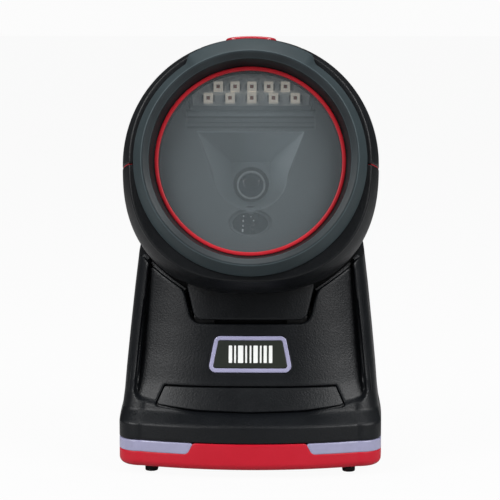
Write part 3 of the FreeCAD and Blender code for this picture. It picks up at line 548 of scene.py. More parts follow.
class Shader:
    """Builds one material's nodes."""

    def __init__(self, name: str) -> None:
        """Starts an empty node tree with a Principled shader on the output."""
        self.material = bpy.data.materials.new(name)
        self.material.use_nodes = True
        self.tree = self.material.node_tree
        self.tree.nodes.clear()
        self.output = self.tree.nodes.new("ShaderNodeOutputMaterial")
        self.body = self.tree.nodes.new("ShaderNodeBsdfPrincipled")
        self.tree.links.new(self.body.outputs[0], self.output.inputs[0])

    def put(self, node: bpy.types.Node, socket: str | int, value: Value) -> None:
        """Links a socket to an input, or sets the input's own value."""
        if isinstance(value, Sock):
            value = value.source
        if isinstance(value, bpy.types.NodeSocket):
            self.tree.links.new(value, node.inputs[socket])
        else:
            node.inputs[socket].default_value = value

    def node(self, kind: str, settings: dict[str, object], inputs: dict[str | int, Value]) -> bpy.types.Node:
        """Adds a node.

        Args:
            kind: the node's Blender type.
            settings: its properties, set first.
            inputs: values or links for its sockets.

        Returns:
            The new node.
        """
        node = self.tree.nodes.new(kind)
        for name, value in settings.items():
            setattr(node, name, value)
        for socket, value in inputs.items():
            self.put(node, socket, value)
        return node

    def surface(self, **inputs: Value) -> None:
        """Sets the Principled shader's inputs; underscores in the names stand for spaces."""
        for name, value in inputs.items():
            self.put(self.body, name.replace("_", " "), value)

    def place(self) -> Sock:
        """The point on the object, in metres."""
        return Sock(self, self.node("ShaderNodeTexCoord", {}, {}).outputs["Object"])

    def axes(self) -> tuple[Sock, Sock, Sock]:
        """The point's x, y and z, in millimetres."""
        parts = self.node("ShaderNodeSeparateXYZ", {}, {0: self.place()})
        return tuple(Sock(self, parts.outputs[k]) * 1000.0 for k in range(3))

    def noise(self, size: float, detail: float = 2.0, roughness: float = 0.5, stretch: Triple = (1, 1,
                                                                                                 1)) -> Sock:
        """Noise whose lumps are about size millimetres across, stretched along the axes."""
        scaled = self.node("ShaderNodeMapping", {}, {0: self.place(), "Scale": tuple(1000.0 / size / s
                                                                                     for s in stretch)})
        node = self.node("ShaderNodeTexNoise", {}, {0: Sock(self, scaled.outputs[0]), "Scale": 1.0,
                                                    "Detail": detail, "Roughness": roughness})
        return Sock(self, node.outputs["Fac"])

    def cells(self, size: float) -> Sock:
        """Distance to the middle of the nearest of many scattered cells of about size millimetres."""
        node = self.node("ShaderNodeTexVoronoi", {"feature": "F1"}, {0: self.place(), "Scale": 1000.0
                                                                     / size})
        return Sock(self, node.outputs["Distance"])

    def blend(self, share: Value, first: Value, second: Value) -> Sock:
        """Mixes two colours."""
        node = self.node("ShaderNodeMix", {"data_type": "RGBA"}, {0: share, 6: first, 7: second})
        return Sock(self, node.outputs[2])

    def bumps(self, *layers: tuple[Sock, float]) -> Sock:
        """Chains bump nodes, each with its height field and its height in millimetres."""
        normal: Sock | None = None
        for height, depth in layers:
            inputs: dict[str | int, Value] = {"Height": height, "Distance": depth * MM, "Strength": 1.0}
            if normal is not None:
                inputs["Normal"] = normal
            normal = Sock(self, self.node("ShaderNodeBump", {}, inputs).outputs[0])
        return normal


@dataclass(frozen=True)
class HeadFrame:
    """Where the head sits in the stand's frame at rest."""

    lip_y: float = -38.0
    lip_z: float = 108.4
    tilt: float = math.radians(14.0)

    @property
    def turn(self) -> Numbers:
        """The matrix whose columns are the head's x, depth and up directions."""
        c, s = math.cos(self.tilt), math.sin(self.tilt)
        return np.array([[1.0, 0.0, 0.0], [0.0, c, s], [0.0, -s, c]])

    @property
    def standing(self) -> Numbers:
        """The matrix that stands a block made on the XY plane on a face that looks out of the window."""
        return self.turn @ np.array([[1.0, 0.0, 0.0], [0.0, 0.0, -1.0], [0.0, 1.0, 0.0]])

    @property
    def origin(self) -> Numbers:
        """The centre of the front lip."""
        return np.array([0.0, self.lip_y, self.lip_z])

    def out(self, p: Numbers) -> Numbers:
        """Head-frame points (x, depth, up) in the stand's frame."""
        return p @ self.turn.T + self.origin

    def back(self, p: Numbers) -> Numbers:
        """Stand-frame points in the head's frame."""
        return (p - self.origin) @ self.turn


def up_head(y: Sock, z: Sock) -> Sock:
    """Height above the lip's centre along the head: (y - lip y) sin(tilt) + (z - lip z) cos(tilt)."""
    place = HeadFrame()
    return (y - place.lip_y) * math.sin(place.tilt) + (z - place.lip_z) * math.cos(place.tilt)


@dataclass(frozen=True)
class Funnel:
    """The hollow in front of the camera, seen from the front: a flat top, straight sides, a round bottom."""

    half: float = 18.3
    top: float = 10.9
    radius: float = 12.6
    centre: float = -3.8
    spread: float = 0.388


# ------------------------------------------------------------------ finishes
class Texture(Enum):
    """How a moulded surface is textured: the size of its grain and its height, in millimetres."""

    SPARK = (0.42, 0.050)
    FINE = (0.26, 0.012)
    POLISHED = (0.60, 0.0012)


@dataclass(frozen=True)
class MouldedPlastic:
    """Injection-moulded plastic, from spark-textured to polished."""

    name: str
    colour: Colour
    worn: Colour
    roughness: float
    texture: Texture
    coat: float = 0.0
    specular: float = 0.5

    def build(self) -> bpy.types.Material:
        """Grain in the bump, worn patches in the colour and gloss, and fine scuffs."""
        s = Shader(self.name)
        size, height = self.texture.value
        grain = s.noise(size, 3.0, 0.62)
        pits = s.cells(size * 1.6)
        flow = s.noise(38.0, 2.0, 0.5)
        handled = s.noise(9.0, 4.0, 0.6)
        scuffs = s.noise(0.9, 2.0, 0.5, (1.0, 9.0, 1.3)).band(0.66, 0.80)
        share = (handled * 0.6 + flow * 0.4).band(0.38, 0.66)
        speck = grain.band(0.35, 0.75)
        colour = s.blend(share * 0.55 + speck * 0.35, self.colour, self.worn)
        rough = self.roughness + (share - 0.5) * 0.07 + (speck - 0.5) * 0.05 + scuffs * 0.05
        s.surface(Base_Color=colour, Roughness=rough, Coat_Weight=self.coat, Coat_Roughness=0.06, IOR=1.5,
                  Specular_IOR_Level=self.specular, Normal=s.bumps((grain, height), (pits, height * 0.8)))
        return s.material


@dataclass(frozen=True)
class GlowingPlastic:
    """Milky plastic with a soft glow: the light guides are lit a little from behind, and on the LED bodies,
    the lens lip and the aimer marks the glow is painted light.
    """

    name: str
    colour: Colour
    deep: Colour
    glow: float

    def build(self) -> bpy.types.Material:
        """Cloudy depth in the colour, a soft glow and a faint orange peel."""
        s = Shader(self.name)
        cloud = s.noise(5.0, 3.0, 0.55)
        peel = s.noise(0.8, 2.0, 0.5)
        colour = s.blend(cloud.band(0.3, 0.7), self.colour, self.deep)
        # Emission: a backlight on the light guides, and a painted glow on the LED bodies, the lens lip and
        # the aimer marks.
        s.surface(Base_Color=colour, Roughness=0.30 + (peel - 0.5) * 0.10, Subsurface_Weight=0.0, IOR=1.49,
                  Emission_Color=colour, Emission_Strength=self.glow, Coat_Weight=0.25, Coat_Roughness=0.12,
                  Normal=s.bumps((peel, 0.004)))
        return s.material


@dataclass(frozen=True)
class Metal:
    """Plated or machined metal."""

    name: str
    colour: Colour
    roughness: float
    grain: Triple = (1.0, 1.0, 1.0)

    def build(self) -> bpy.types.Material:
        """Fine machining lines, cloudy plating and tarnish in the hollows of the noise."""
        s = Shader(self.name)
        lines = s.noise(0.12, 2.0, 0.6, self.grain)
        cloud = s.noise(3.0, 3.0, 0.6)
        colour = s.blend(cloud.band(0.35, 0.7), self.colour, shaded(self.colour, 0.72))
        s.surface(Base_Color=colour, Metallic=1.0, Roughness=self.roughness + (lines - 0.5) * 0.18
                  + (cloud - 0.5) * 0.1, Normal=s.bumps((lines, 0.004)))
        return s.material


@dataclass(frozen=True)
class Rubber:
    """Soft matt rubber."""

    name: str
    colour: Colour
    dusty: Colour

    def build(self) -> bpy.types.Material:
        """A dull dusty bloom over a fine grain."""
        s = Shader(self.name)
        grain = s.noise(0.3, 3.0, 0.6)
        dust = s.noise(4.0, 4.0, 0.65)
        colour = s.blend(dust.band(0.4, 0.75), self.colour, self.dusty)
        s.surface(Base_Color=colour, Roughness=0.78 + (grain - 0.5) * 0.12, Specular_IOR_Level=0.3,
                  Normal=s.bumps((grain, 0.02)))
        return s.material


@dataclass(frozen=True)
class CircuitBoard:
    """A coated board with tracks under its mask."""

    name: str
    mask: Colour
    track: Colour

    def build(self) -> bpy.types.Material:
        """Thin tracks where bands of two crossing waves of the place are high, raised a little."""
        s = Shader(self.name)
        x, _, z = s.axes()
        wander = s.noise(6.0, 1.0, 0.5)
        across = (x * 1.1 + wander * 9.0).sine().band(0.80, 0.92)
        along = (z * 1.3 + wander * 7.0).sine().band(0.84, 0.94)
        track = (across + along).clamped()
        colour = s.blend(track * 0.8, self.mask, self.track)
        s.surface(Base_Color=colour, Roughness=0.38 + (wander - 0.5) * 0.1, Coat_Weight=0.3,
                  Coat_Roughness=0.2, Normal=s.bumps((track, 0.03)))
        return s.material


@dataclass(frozen=True)
class Pane:
    """A clear or milky pane: a share of it is seen as its own colour, and the rest lets light through."""

    name: str
    colour: Colour
    share: float
    roughness: float = 0.04
    coat: float = 0.0

    def build(self) -> bpy.types.Material:
        """A thin even haze with faint wipe marks."""
        s = Shader(self.name)
        wipe = s.noise(7.0, 3.0, 0.6, (3.0, 1.0, 1.0))
        haze = wipe.band(0.45, 0.8)
        s.surface(Base_Color=self.colour, Roughness=self.roughness + haze * 0.03, IOR=1.5, Alpha=self.share
                  + haze * 0.015, Specular_IOR_Level=0.35, Coat_Weight=self.coat, Coat_Roughness=0.02)
        return s.material


@dataclass(frozen=True)
class BezelPlastic:
    """The bezel's fine-textured grey, with painted shade inside the lip, deeper painted shade inside the
    step, and painted highlights along both edges.
    """

    name: str
    colour: Colour
    # Painted shade: inside is the tone between the lip and the step, deep the darker tone inside the step.
    inside: Colour
    deep: Colour
    step_radius: float = 34.25
    lip_radius: float = 36.5
    blur: float = 0.25
    # Radii of the painted highlight lines on the step's edge and the lip's edge.
    highlight_step: float = 34.3
    highlight_lip: float = 36.72

    def build(self) -> bpy.types.Material:
        """Tones follow the distance from the window's axis: painted shade inside the lip and the step, and
        painted highlights on the two edges.
        """
        s = Shader(self.name)
        x, y, z = s.axes()
        r = x.length(up_head(y, z).size())
        grain, cloud = s.noise(0.26, 3.0, 0.6), s.noise(16.0, 3.0, 0.55)
        # Painted shade: darkest inside the step, less dark between the step and the lip.
        tone = s.blend(r.band(self.step_radius, self.step_radius + self.blur), self.deep, self.inside)
        tone = s.blend(r.band(self.lip_radius, self.lip_radius + self.blur), tone, self.colour)
        # A pale tone, used for the painted highlights on the two edges and for random mottling.
        worn = shaded(self.colour, 2.4)
        # Painted highlights: thin pale bands on the step's edge and the lip's edge.
        step_highlight = 1.0 - ((r - self.highlight_step).size() * 6.0).clamped()
        edge_highlight = 1.0 - ((r - self.highlight_lip).size() * 5.0).clamped() + step_highlight * 0.8
        tone = s.blend((edge_highlight * 0.7).clamped(), tone, worn)
        tone = s.blend(cloud.band(0.4, 0.7) * 0.16 + grain.band(0.4, 0.7) * 0.06, tone, worn)
        s.surface(Base_Color=tone, Roughness=0.46 + (cloud - 0.5) * 0.1, Specular_IOR_Level=0.28,
                  Normal=s.bumps((grain, 0.010)))
        return s.material


@dataclass(frozen=True)
class OpticsPlastic:
    """The optics housing's grey, with painted shade in its grooves and painted light on its ledges, in its
    funnel and along the funnel's rim.
    """

    name: str
    colour: Colour

    def build(self) -> bpy.types.Material:
        """Tones follow the height up the head and the distance outside the funnel's outline: painted shade
        in the grooves, painted light on the ledges and in the funnel, and painted highlights on the funnel's
        rim.
        """
        s = Shader(self.name)
        x, y, z = s.axes()
        hollow, w = Funnel(), up_head(y, z)
        across = x.size()
        # Painted light on the ledge under the LEDs, and painted shade in the grooves.
        ledge_light = w.band(16.4, 16.8) * (1.0 - w.band(18.2, 18.5)) * (1.0 - across.band(21.3, 21.7))
        upper = w.band(15.5, 15.8) * (1.0 - w.band(16.3, 16.6))
        groove_shade = upper + w.band(12.1, 12.3) * (1.0 - w.band(12.8, 13.1))
        groove_shade = (groove_shade * (1.0 - across.band(21.6, 22.4))).clamped()
        # Painted light inside the funnel, lighter towards the right, and painted highlights along its top
        # edge and right side.
        rise = w - hollow.centre
        half = hollow.radius + rise.at_least(0.0) * hollow.spread
        edge = x.length(rise.at_most(0.0)) - half
        funnel = (1.0 - edge.band(-0.3, 0.1)) * (1.0 - w.band(10.6, 10.9))
        brow_highlight = w.band(10.5, 10.8) * (1.0 - w.band(11.0, 11.3)) * (1.0 - across.band(18.2, 18.6))
        wing_light = x.band(-6.0, 15.0) * w.band(-12.0, 6.0) * funnel
        side_highlight = (1.0 - (edge.size() * 2.6).clamped()) * (1.0 - w.band(10.8, 11.0))
        rim = side_highlight * x.band(-4.0, 10.0) + brow_highlight
        cloud = s.noise(6.0, 3.0, 0.55)
        # A dark tone for random mottling and for the painted shade in the grooves, and a pale tone for the
        # painted light and highlights.
        mottle_and_shade, pale = shaded(self.colour, 0.36), shaded(self.colour, 3.0)
        tone = s.blend(cloud * 0.12, self.colour, mottle_and_shade)
        tone = s.blend(groove_shade * 0.95, tone, mottle_and_shade)
        tone = s.blend((ledge_light * 0.40 + funnel * 0.20 + wing_light * 1.4 + rim * 0.5).clamped(), tone, pale)
        s.surface(Base_Color=tone, Roughness=0.52 + (cloud - 0.5) * 0.1, Specular_IOR_Level=0.3)
        return s.material


@dataclass(frozen=True)
class Lens:
    """Dark coated glass whose tint shifts from its middle to its edge."""

    name: str
    middle: Colour
    rim: Colour
    centre: Pair
    reach: float

    def build(self) -> bpy.types.Material:
        """The tint follows the distance from the lens's middle, seen from the front."""
        s = Shader(self.name)
        x, _, z = s.axes()
        off = (x - self.centre[0]).length(z - self.centre[1])
        cloud = s.noise(1.2, 2.0, 0.5)
        tint = s.blend(off.band(0.25 * self.reach, self.reach) + (cloud - 0.5) * 0.1, self.middle, self.rim)
        s.surface(Base_Color=tint, Roughness=0.06 + cloud * 0.03, IOR=1.6, Coat_Weight=0.6,
                  Coat_Roughness=0.02)
        return s.material


MADE: dict[str, bpy.types.Material] = {}


class Finish(Enum):
    """Every finish on the scanner."""

    SHELL_BLACK = MouldedPlastic("shell_black", linear(9, 11, 14), linear(14, 17, 20), 0.42, Texture.SPARK,
                                 0.0, 0.24)
    # The bezel's two darker tones are painted shade inside the lip and inside the step.
    BEZEL_GREY = BezelPlastic("bezel_grey", linear(42, 51, 54), linear(28, 34, 37), linear(12, 15, 16))
    # The optics housing's grooves carry painted shade, and its ledges and funnel carry painted light.
    OPTICS_GREY = OpticsPlastic("optics_grey", linear(116, 124, 128))
    RING_RED = MouldedPlastic("ring_red", linear(168, 24, 36), linear(176, 28, 40), 0.45, Texture.POLISHED,
                              0.0, 0.3)
    TRAY_RED = MouldedPlastic("tray_red", linear(180, 14, 36), linear(188, 18, 42), 0.40, Texture.POLISHED,
                              0.0, 0.3)
    BUTTON_RED = MouldedPlastic("button_red", linear(158, 15, 34), linear(166, 20, 41), 0.30,
                                Texture.POLISHED, 0.25)
    BADGE_DARK = MouldedPlastic("badge_satin", linear(34, 38, 34), linear(40, 43, 38), 0.50,
                                Texture.POLISHED, 0.0, 0.15)
    PRINT_WHITE = MouldedPlastic("print_white", linear(226, 228, 226), linear(212, 214, 212), 0.45,
                                 Texture.POLISHED)
    INNER_GREY = MouldedPlastic("inner_grey", linear(44, 47, 49), linear(54, 57, 59), 0.52, Texture.FINE)
    PAINTED_STEEL = MouldedPlastic("painted_steel", linear(13, 14, 15), linear(20, 21, 22), 0.55,
                                   Texture.FINE, 0.0, 0.2)
    INNER_BLACK = MouldedPlastic("inner_black", linear(16, 17, 18), linear(24, 25, 27), 0.46, Texture.FINE)
    # The LED bodies' glow is painted light on the package plastic.
    LED_CREAM = GlowingPlastic("led_cream", linear(230, 222, 208), linear(218, 210, 196), 0.60)
    LED_DIE = MouldedPlastic("led_die", linear(196, 120, 92), linear(170, 92, 70), 0.30, Texture.POLISHED,
                             0.5)
    LIGHT_GUIDE = GlowingPlastic("milky_lavender", linear(150, 149, 178), linear(143, 142, 170), 0.02)
    STEEL = Metal("zinc_steel", linear(176, 178, 182), 0.34)
    DARK_STEEL = Metal("black_screw_steel", linear(70, 72, 76), 0.38)
    CONTACT_GOLD = Metal("contact_gold", linear(214, 176, 96), 0.28)
    BRASS = Metal("brass", linear(190, 158, 90), 0.36)
    FOOT_RUBBER = Rubber("foot_rubber", linear(20, 20, 21), linear(40, 40, 40))
    GASKET_RED = Rubber("gasket_red", linear(160, 26, 38), linear(140, 34, 42))
    BOARD = CircuitBoard("board_grey_green", linear(52, 64, 60), linear(92, 104, 98))
    LED_BOARD = CircuitBoard("led_board_white", linear(212, 220, 225), linear(236, 240, 242))
    WINDOW = Pane("window_pane", linear(91, 98, 101), 0.40)
    LENS_GLASS = Lens("camera_glass", linear(10, 12, 18), linear(46, 58, 74), (0.0, 98.0), 4.4)
    AIMER_GLASS = Lens("aimer_glass", linear(34, 38, 40), linear(62, 68, 71), (0.0, 87.0), 6.2)
    # The lens lip's and the aimer marks' glow is painted light.
    BARREL_GREY = GlowingPlastic("barrel_grey", linear(150, 156, 158), linear(134, 140, 142), 0.42)
    MARK_PALE = GlowingPlastic("mark_pale", linear(214, 220, 222), linear(196, 202, 204), 0.25)

    def material(self) -> bpy.types.Material:
        """The finish's material, built the first time it is asked for."""
        if self.name not in MADE:
            MADE[self.name] = self.value.build()
        return MADE[self.name]


def dress(piece: bpy.types.Object, finish: Finish) -> None:
    """Gives an object one finish on all its faces."""
    piece.data.materials.clear()
    piece.data.materials.append(finish.material())


def add_piece(name: str, data: MeshData, finish: Finish, body: str, slot: str, *nodes: str,
              crease: float = 40.0) -> None:
    """Makes a piece, dresses it and ties it to the model.

    Args:
        name: the piece's name.
        data: its mesh.
        finish: its finish.
        body: the body that it moves with.
        slot: the record's material slot; not used.
        nodes: the CAD nodes that it stands for.
        crease: the angle past which its edges are shaded sharp.
    """
    piece = make_piece(name, data, crease)
    dress(piece, finish)
    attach(piece, body)
    if nodes:
        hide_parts(*nodes)
    LOG.info("%s: %d corners, rides on %s", name, len(data.points), body)


# ------------------------------------------------------------------ the head's frame and shell
@dataclass(frozen=True)
class HeadForm:
    """The head's outer form: nearly round above, fuller below, with a soft shoulder and a domed back."""

    half_width: float = 44.1
    half_height: float = 44.2
    front: float = 6.0
    full: float = 18.0
    length: float = 46.5
    dome: float = 2.3
    corner: float = 0.8
    mouth: float = 38.9
    taper: float = 0.068
    taper_length: float = 12.0
    power: float = 2.225
    power_change: float = 0.175
    place: HeadFrame = HeadFrame()

    def scale(self, depth: Numbers, extra: float = 0.0) -> Numbers:
        """The share of full size: 1 - taper ((full - depth) / length)^2 in front, (1 - s^n)^(1/n) behind."""
        share = np.clip((depth - self.full) / (self.length + extra), 0, 1)
        behind = (1 - share ** self.dome) ** (1 / self.dome)
        ahead = 1 - self.taper * ((self.full - depth) / self.taper_length) ** 2
        return np.where(depth <= self.full, ahead, behind)

    def surface(self, grow: float = 0.0) -> Surface:
        """The skin over an angle and a depth parameter.

        The parameter runs from 0 at the front to 1 at full size and on to 2 at the back pole. Before 0 it
        turns the front corner, to -1, and goes in to the mouth, at -2. The radius at an angle is
        (|cos / a|^p + |sin / b|^p)^(-1/p), with p larger below.

        Args:
            grow: moves the skin outwards.

        Returns:
            A function that gives points in the stand's frame.
        """
        def skin(angle: Numbers, run: Numbers) -> Numbers:
            """Points on the skin."""
            turn = np.clip(run - 1, 0, 1) * math.pi / 2
            share = np.sin(turn) ** (2 / self.dome)
            start = self.front + self.corner
            ahead = start + (self.full - start) * np.clip(run, 0, 1)
            size = np.where(run < 1, self.scale(ahead), np.clip(np.cos(turn), 0, 1) ** (2 / self.dome))
            depth = np.where(run < 1, ahead, self.full + (self.length + grow) * share)
            size = np.where(run > 1.99999, 0.0, size)
            a, b = (self.half_width + grow) * size, (self.half_height + grow) * size
            c, s = np.cos(angle), np.sin(angle)
            power = self.power - self.power_change * np.tanh(s * 9.0)
            base = (np.abs(c) / np.maximum(a, 1e-9)) ** power + (np.abs(s) / np.maximum(b, 1e-9)) ** power
            r = np.where(size > 0, base ** (-1 / power), 0.0)
            bend = np.clip(-run, 0, 1) * math.pi / 2
            depth = depth - self.corner * np.sin(bend)
            r = r - self.corner * (1 - np.cos(bend))
            r = r + (self.mouth - r) * np.clip(-run - 1, 0, 1)
            return self.place.out(np.stack([r * c, depth, r * s], axis=1))
        return skin

    def rows(self, front: int, behind: int) -> Numbers:
        """Depth parameters from the mouth round the front corner to the back pole."""
        return np.concatenate([np.linspace(-2, -1, 6, endpoint=False), np.linspace(-1, 0, 5, endpoint=False),
                               np.linspace(0, 1, front, endpoint=False), 1 + np.linspace(0.02, 1, behind)])


def strip_half(depth: Numbers) -> Numbers:
    """Half the top cover's width: widest at the bezel, narrowing towards the back."""
    return np.interp(depth, [6.0, 13.0, 30.0, 47.0], [20.4, 17.4, 15.0, 13.0])


STRIP_END = 47.0
STRIP_CORNER = 6.0


@dataclass
class ScanHead:
    """The head's shells, top cover and push button."""

    form: HeadForm = field(default_factory=HeadForm)
    seam_height: float = -1.3
    seam_gap: float = 0.2
    wall: float = 2.0
    rim: float = 0.45
    button_half: float = 8.9
    button_depths: Pair = (11.6, 22.0)
    button_radius: float = 4.6
    screw_spots: Pairs = ((18.0, 12.0), (-18.0, 12.0), (18.0, -15.0), (-18.0, -15.0))
    screw_hole: float = 2.7
    mouth_hole: float = 39.2
    mouth_depth: float = 7.2
    cover_gap: float = 0.15

    def mouth(self, h: Numbers) -> Numbers:
        """Distance outside the round mouth that the bezel fills."""
        return np.where(h[:, 1] < self.mouth_depth, np.hypot(h[:, 0], h[:, 2]) - self.mouth_hole, FAR)

    def strip(self, h: Numbers) -> Numbers:
        """Distance inside the top cover's outline, seen from above the head; its rear corners are round."""
        side, end = strip_half(h[:, 1]) - np.abs(h[:, 0]), STRIP_END - h[:, 1]
        r = STRIP_CORNER
        corner = r - np.hypot(np.maximum(r - side, 0), np.maximum(r - end, 0))
        return np.where((side < r) & (end < r), corner, np.minimum(side, end)) * 0.97

    def button(self, h: Numbers, grow: float) -> Numbers:
        """Distance outside the button's rounded outline, seen from above the head."""
        corners = rectangle(self.button_half, *self.button_depths)
        return convex_distance(h[:, :2], corners, self.button_radius, grow)

    def screws(self, h: Numbers) -> Numbers:
        """Distance outside the rear screw holes."""
        gaps = [np.hypot(h[:, 0] - x, h[:, 2] - z) - self.screw_hole for x, z in self.screw_spots]
        return np.where(h[:, 1] > 40.0, np.min(gaps, axis=0), FAR)

    def upper(self, p: Numbers) -> Numbers:
        """Distance inside the upper shell's outline."""
        h = self.form.place.back(p)
        top = np.where(h[:, 2] > 5.0, -self.strip(h) - self.cover_gap, FAR)
        seam = h[:, 2] - self.seam_height - self.seam_gap
        return np.min([seam, top, self.mouth(h), self.screws(h)], axis=0)

    def cover(self, p: Numbers) -> Numbers:
        """Distance inside the top cover's outline, less the button's opening."""
        h = self.form.place.back(p)
        return np.min([self.strip(h) - self.cover_gap, self.button(h, 0.3), self.mouth(h)], axis=0)

    def lower(self, p: Numbers) -> Numbers:
        """Distance inside the lower shell's outline, less the neck's opening underneath."""
        h = self.form.place.back(p)
        neck = convex_distance(p[:, :2], rectangle(23.5, -29.5, -8.0), 1.5)
        neck = np.where(p[:, 2] < 80.0, neck, FAR)
        seam = self.seam_height - self.seam_gap - h[:, 2]
        return np.min([seam, neck, self.mouth(h), self.screws(h)], axis=0)

    def build(self) -> None:
        """Makes the shells, the top cover and the button."""
        skin = self.form.surface()
        rad = math.radians
        upper = Sheet(skin, np.linspace(rad(186), rad(-6), 230), self.form.rows(26, 96))
        add_piece("upper_shell", trimmed_shell(upper, self.upper, self.wall, self.rim), Finish.SHELL_BLACK,
                  "head", "black_shell", "head_upper_shell")
        lower = Sheet(skin, np.linspace(rad(366), rad(174), 220), self.form.rows(26, 92))
        add_piece("lower_shell", trimmed_shell(lower, self.lower, self.wall, self.rim), Finish.SHELL_BLACK,
                  "head", "black_shell", "head_lower_shell")
        strip = Sheet(skin, np.linspace(rad(122), rad(58), 120), self.form.rows(26, 96)[:115])
        add_piece("top_cover", trimmed_shell(strip, self.cover, self.wall, self.rim), Finish.SHELL_BLACK,
                  "head", "black_shell", "head_top_cover")
        cap = Sheet(self.form.surface(0.75), np.linspace(rad(104), rad(76), 90), np.linspace(0.3, 1.25, 80))

        def pad(p: Numbers) -> Numbers:
            """Distance inside the button's outline."""
            return -self.button(self.form.place.back(p), 0.0)

        add_piece("push_button", trimmed_shell(cap, pad, 3.4, 0.8, 5), Finish.BUTTON_RED, "button",
                  "red_gloss", "top_button")


# ------------------------------------------------------------------ window and bezel
def turned(profile: Numbers, place: HeadFrame, centre: Pair = (0.0, 0.0), count: int = 256,
           swell: Surface | None = None, solid: bool = False) -> MeshData:
    """A ring or disc turned about the head's depth axis.

    Args:
        profile: (radius, depth) points, a closed loop or, if solid, a path between two points on the axis.
        place: the head's frame.
        centre: the axis's x and height in the head's frame.
        count: the number of steps round.
        swell: radius to add at an angle and a profile point, if any.
        solid: the profile ends on the axis.

    Returns:
        A closed mesh in the stand's frame.
    """
    angle = np.linspace(0, 2 * math.pi, count, endpoint=False)[None, :]
    radius = np.repeat(profile[:, :1], count, axis=1)
    if swell is not None:
        radius = radius + swell(angle, profile[:, 1:])
    x = centre[0] + radius * np.cos(angle)
    w = centre[1] + radius * np.sin(angle)
    u = np.repeat(profile[:, 1:], count, axis=1)
    grid = np.stack([x, u, w], axis=2)
    data = closed_grid(grid, wrap_rows=not solid)
    return MeshData(place.out(data.points), data.faces).facing_out()


@dataclass
class WindowGroup:
    """The bezel with its raised tab, the red ring and the clear window."""

    place: HeadFrame = field(default_factory=HeadFrame)
    lip: float = 36.8
    step: float = 34.2
    outer: float = 39.7
    tab_rise: float = 2.2
    tab_reach: Pair = (29.7, 34.2)
    tab_depth: float = 5.9
    window: float = 33.0

    def tab(self, profile: Numbers) -> Surface:
        """The tab: near the top the outer edge moves outwards, the more the deeper, with short shoulders.

        Args:
            profile: the bezel's profile; only the points of its outer edge move.

        Returns:
            A function that gives the rise at an angle and a depth.
        """
        outward = ((profile[:, 0] > self.lip - 0.4) & (profile[:, 1] < self.tab_depth)).astype(float)[:,
                                                                                                      None]

        def rise(angle: Numbers, depth: Numbers) -> Numbers:
            """The radius that the tab adds."""
            off = np.abs(np.degrees(np.arctan2(np.cos(angle), np.sin(angle))))
            start, end = self.tab_reach
            share = 1 - smooth_step((off - start) / (end - start))
            outer = smooth_step(depth / 5.3) * (depth < self.tab_depth)
            return self.tab_rise * share * outer * outward
        return rise

    def build(self) -> None:
        """Makes the bezel, the ring and the window."""
        corners = [(self.lip, 0.0), (self.outer, 5.2), (self.outer, 5.75), (38.5, 5.75), (38.5, 8.6),
                   (35.4, 11.6), (33.3, 11.6), (33.3, 8.2), (32.78, 8.2), (32.78, 7.7), (self.step, 1.55),
                   (self.lip - 0.75, 0.1)]
        radii = [0.3, 0.25, 0.12, 0.1, 0.3, 0.3, 0.1, 0.1, 0.1, 0.1, 0.35, 0.2]
        profile = rounded_path(corners, radii, True, 5)
        bezel = turned(profile, self.place, swell=self.tab(profile), count=360)
        add_piece("bezel", bezel, Finish.BEZEL_GREY, "head", "grey_bezel", "head_bezel")
        ring = rounded_path([(32.62, 7.15), (32.62, 8.15), (31.25, 8.15), (31.25, 7.15)], [0.42, 0.1, 0.1,
                                                                                           0.42], True, 6)
        add_piece("red_ring", turned(ring, self.place, count=300), Finish.RING_RED, "head", "red_plastic",
                  "window_ring")
        pane = rounded_path([(0.0, 8.2), (self.window, 8.2), (self.window, 10.0), (0.0, 10.0)],
                            [0, 0.25, 0.25, 0], False)
        add_piece("window_pane", turned(pane, self.place, count=220, solid=True), Finish.WINDOW, "head",
                  "clear_window", "scan_window")


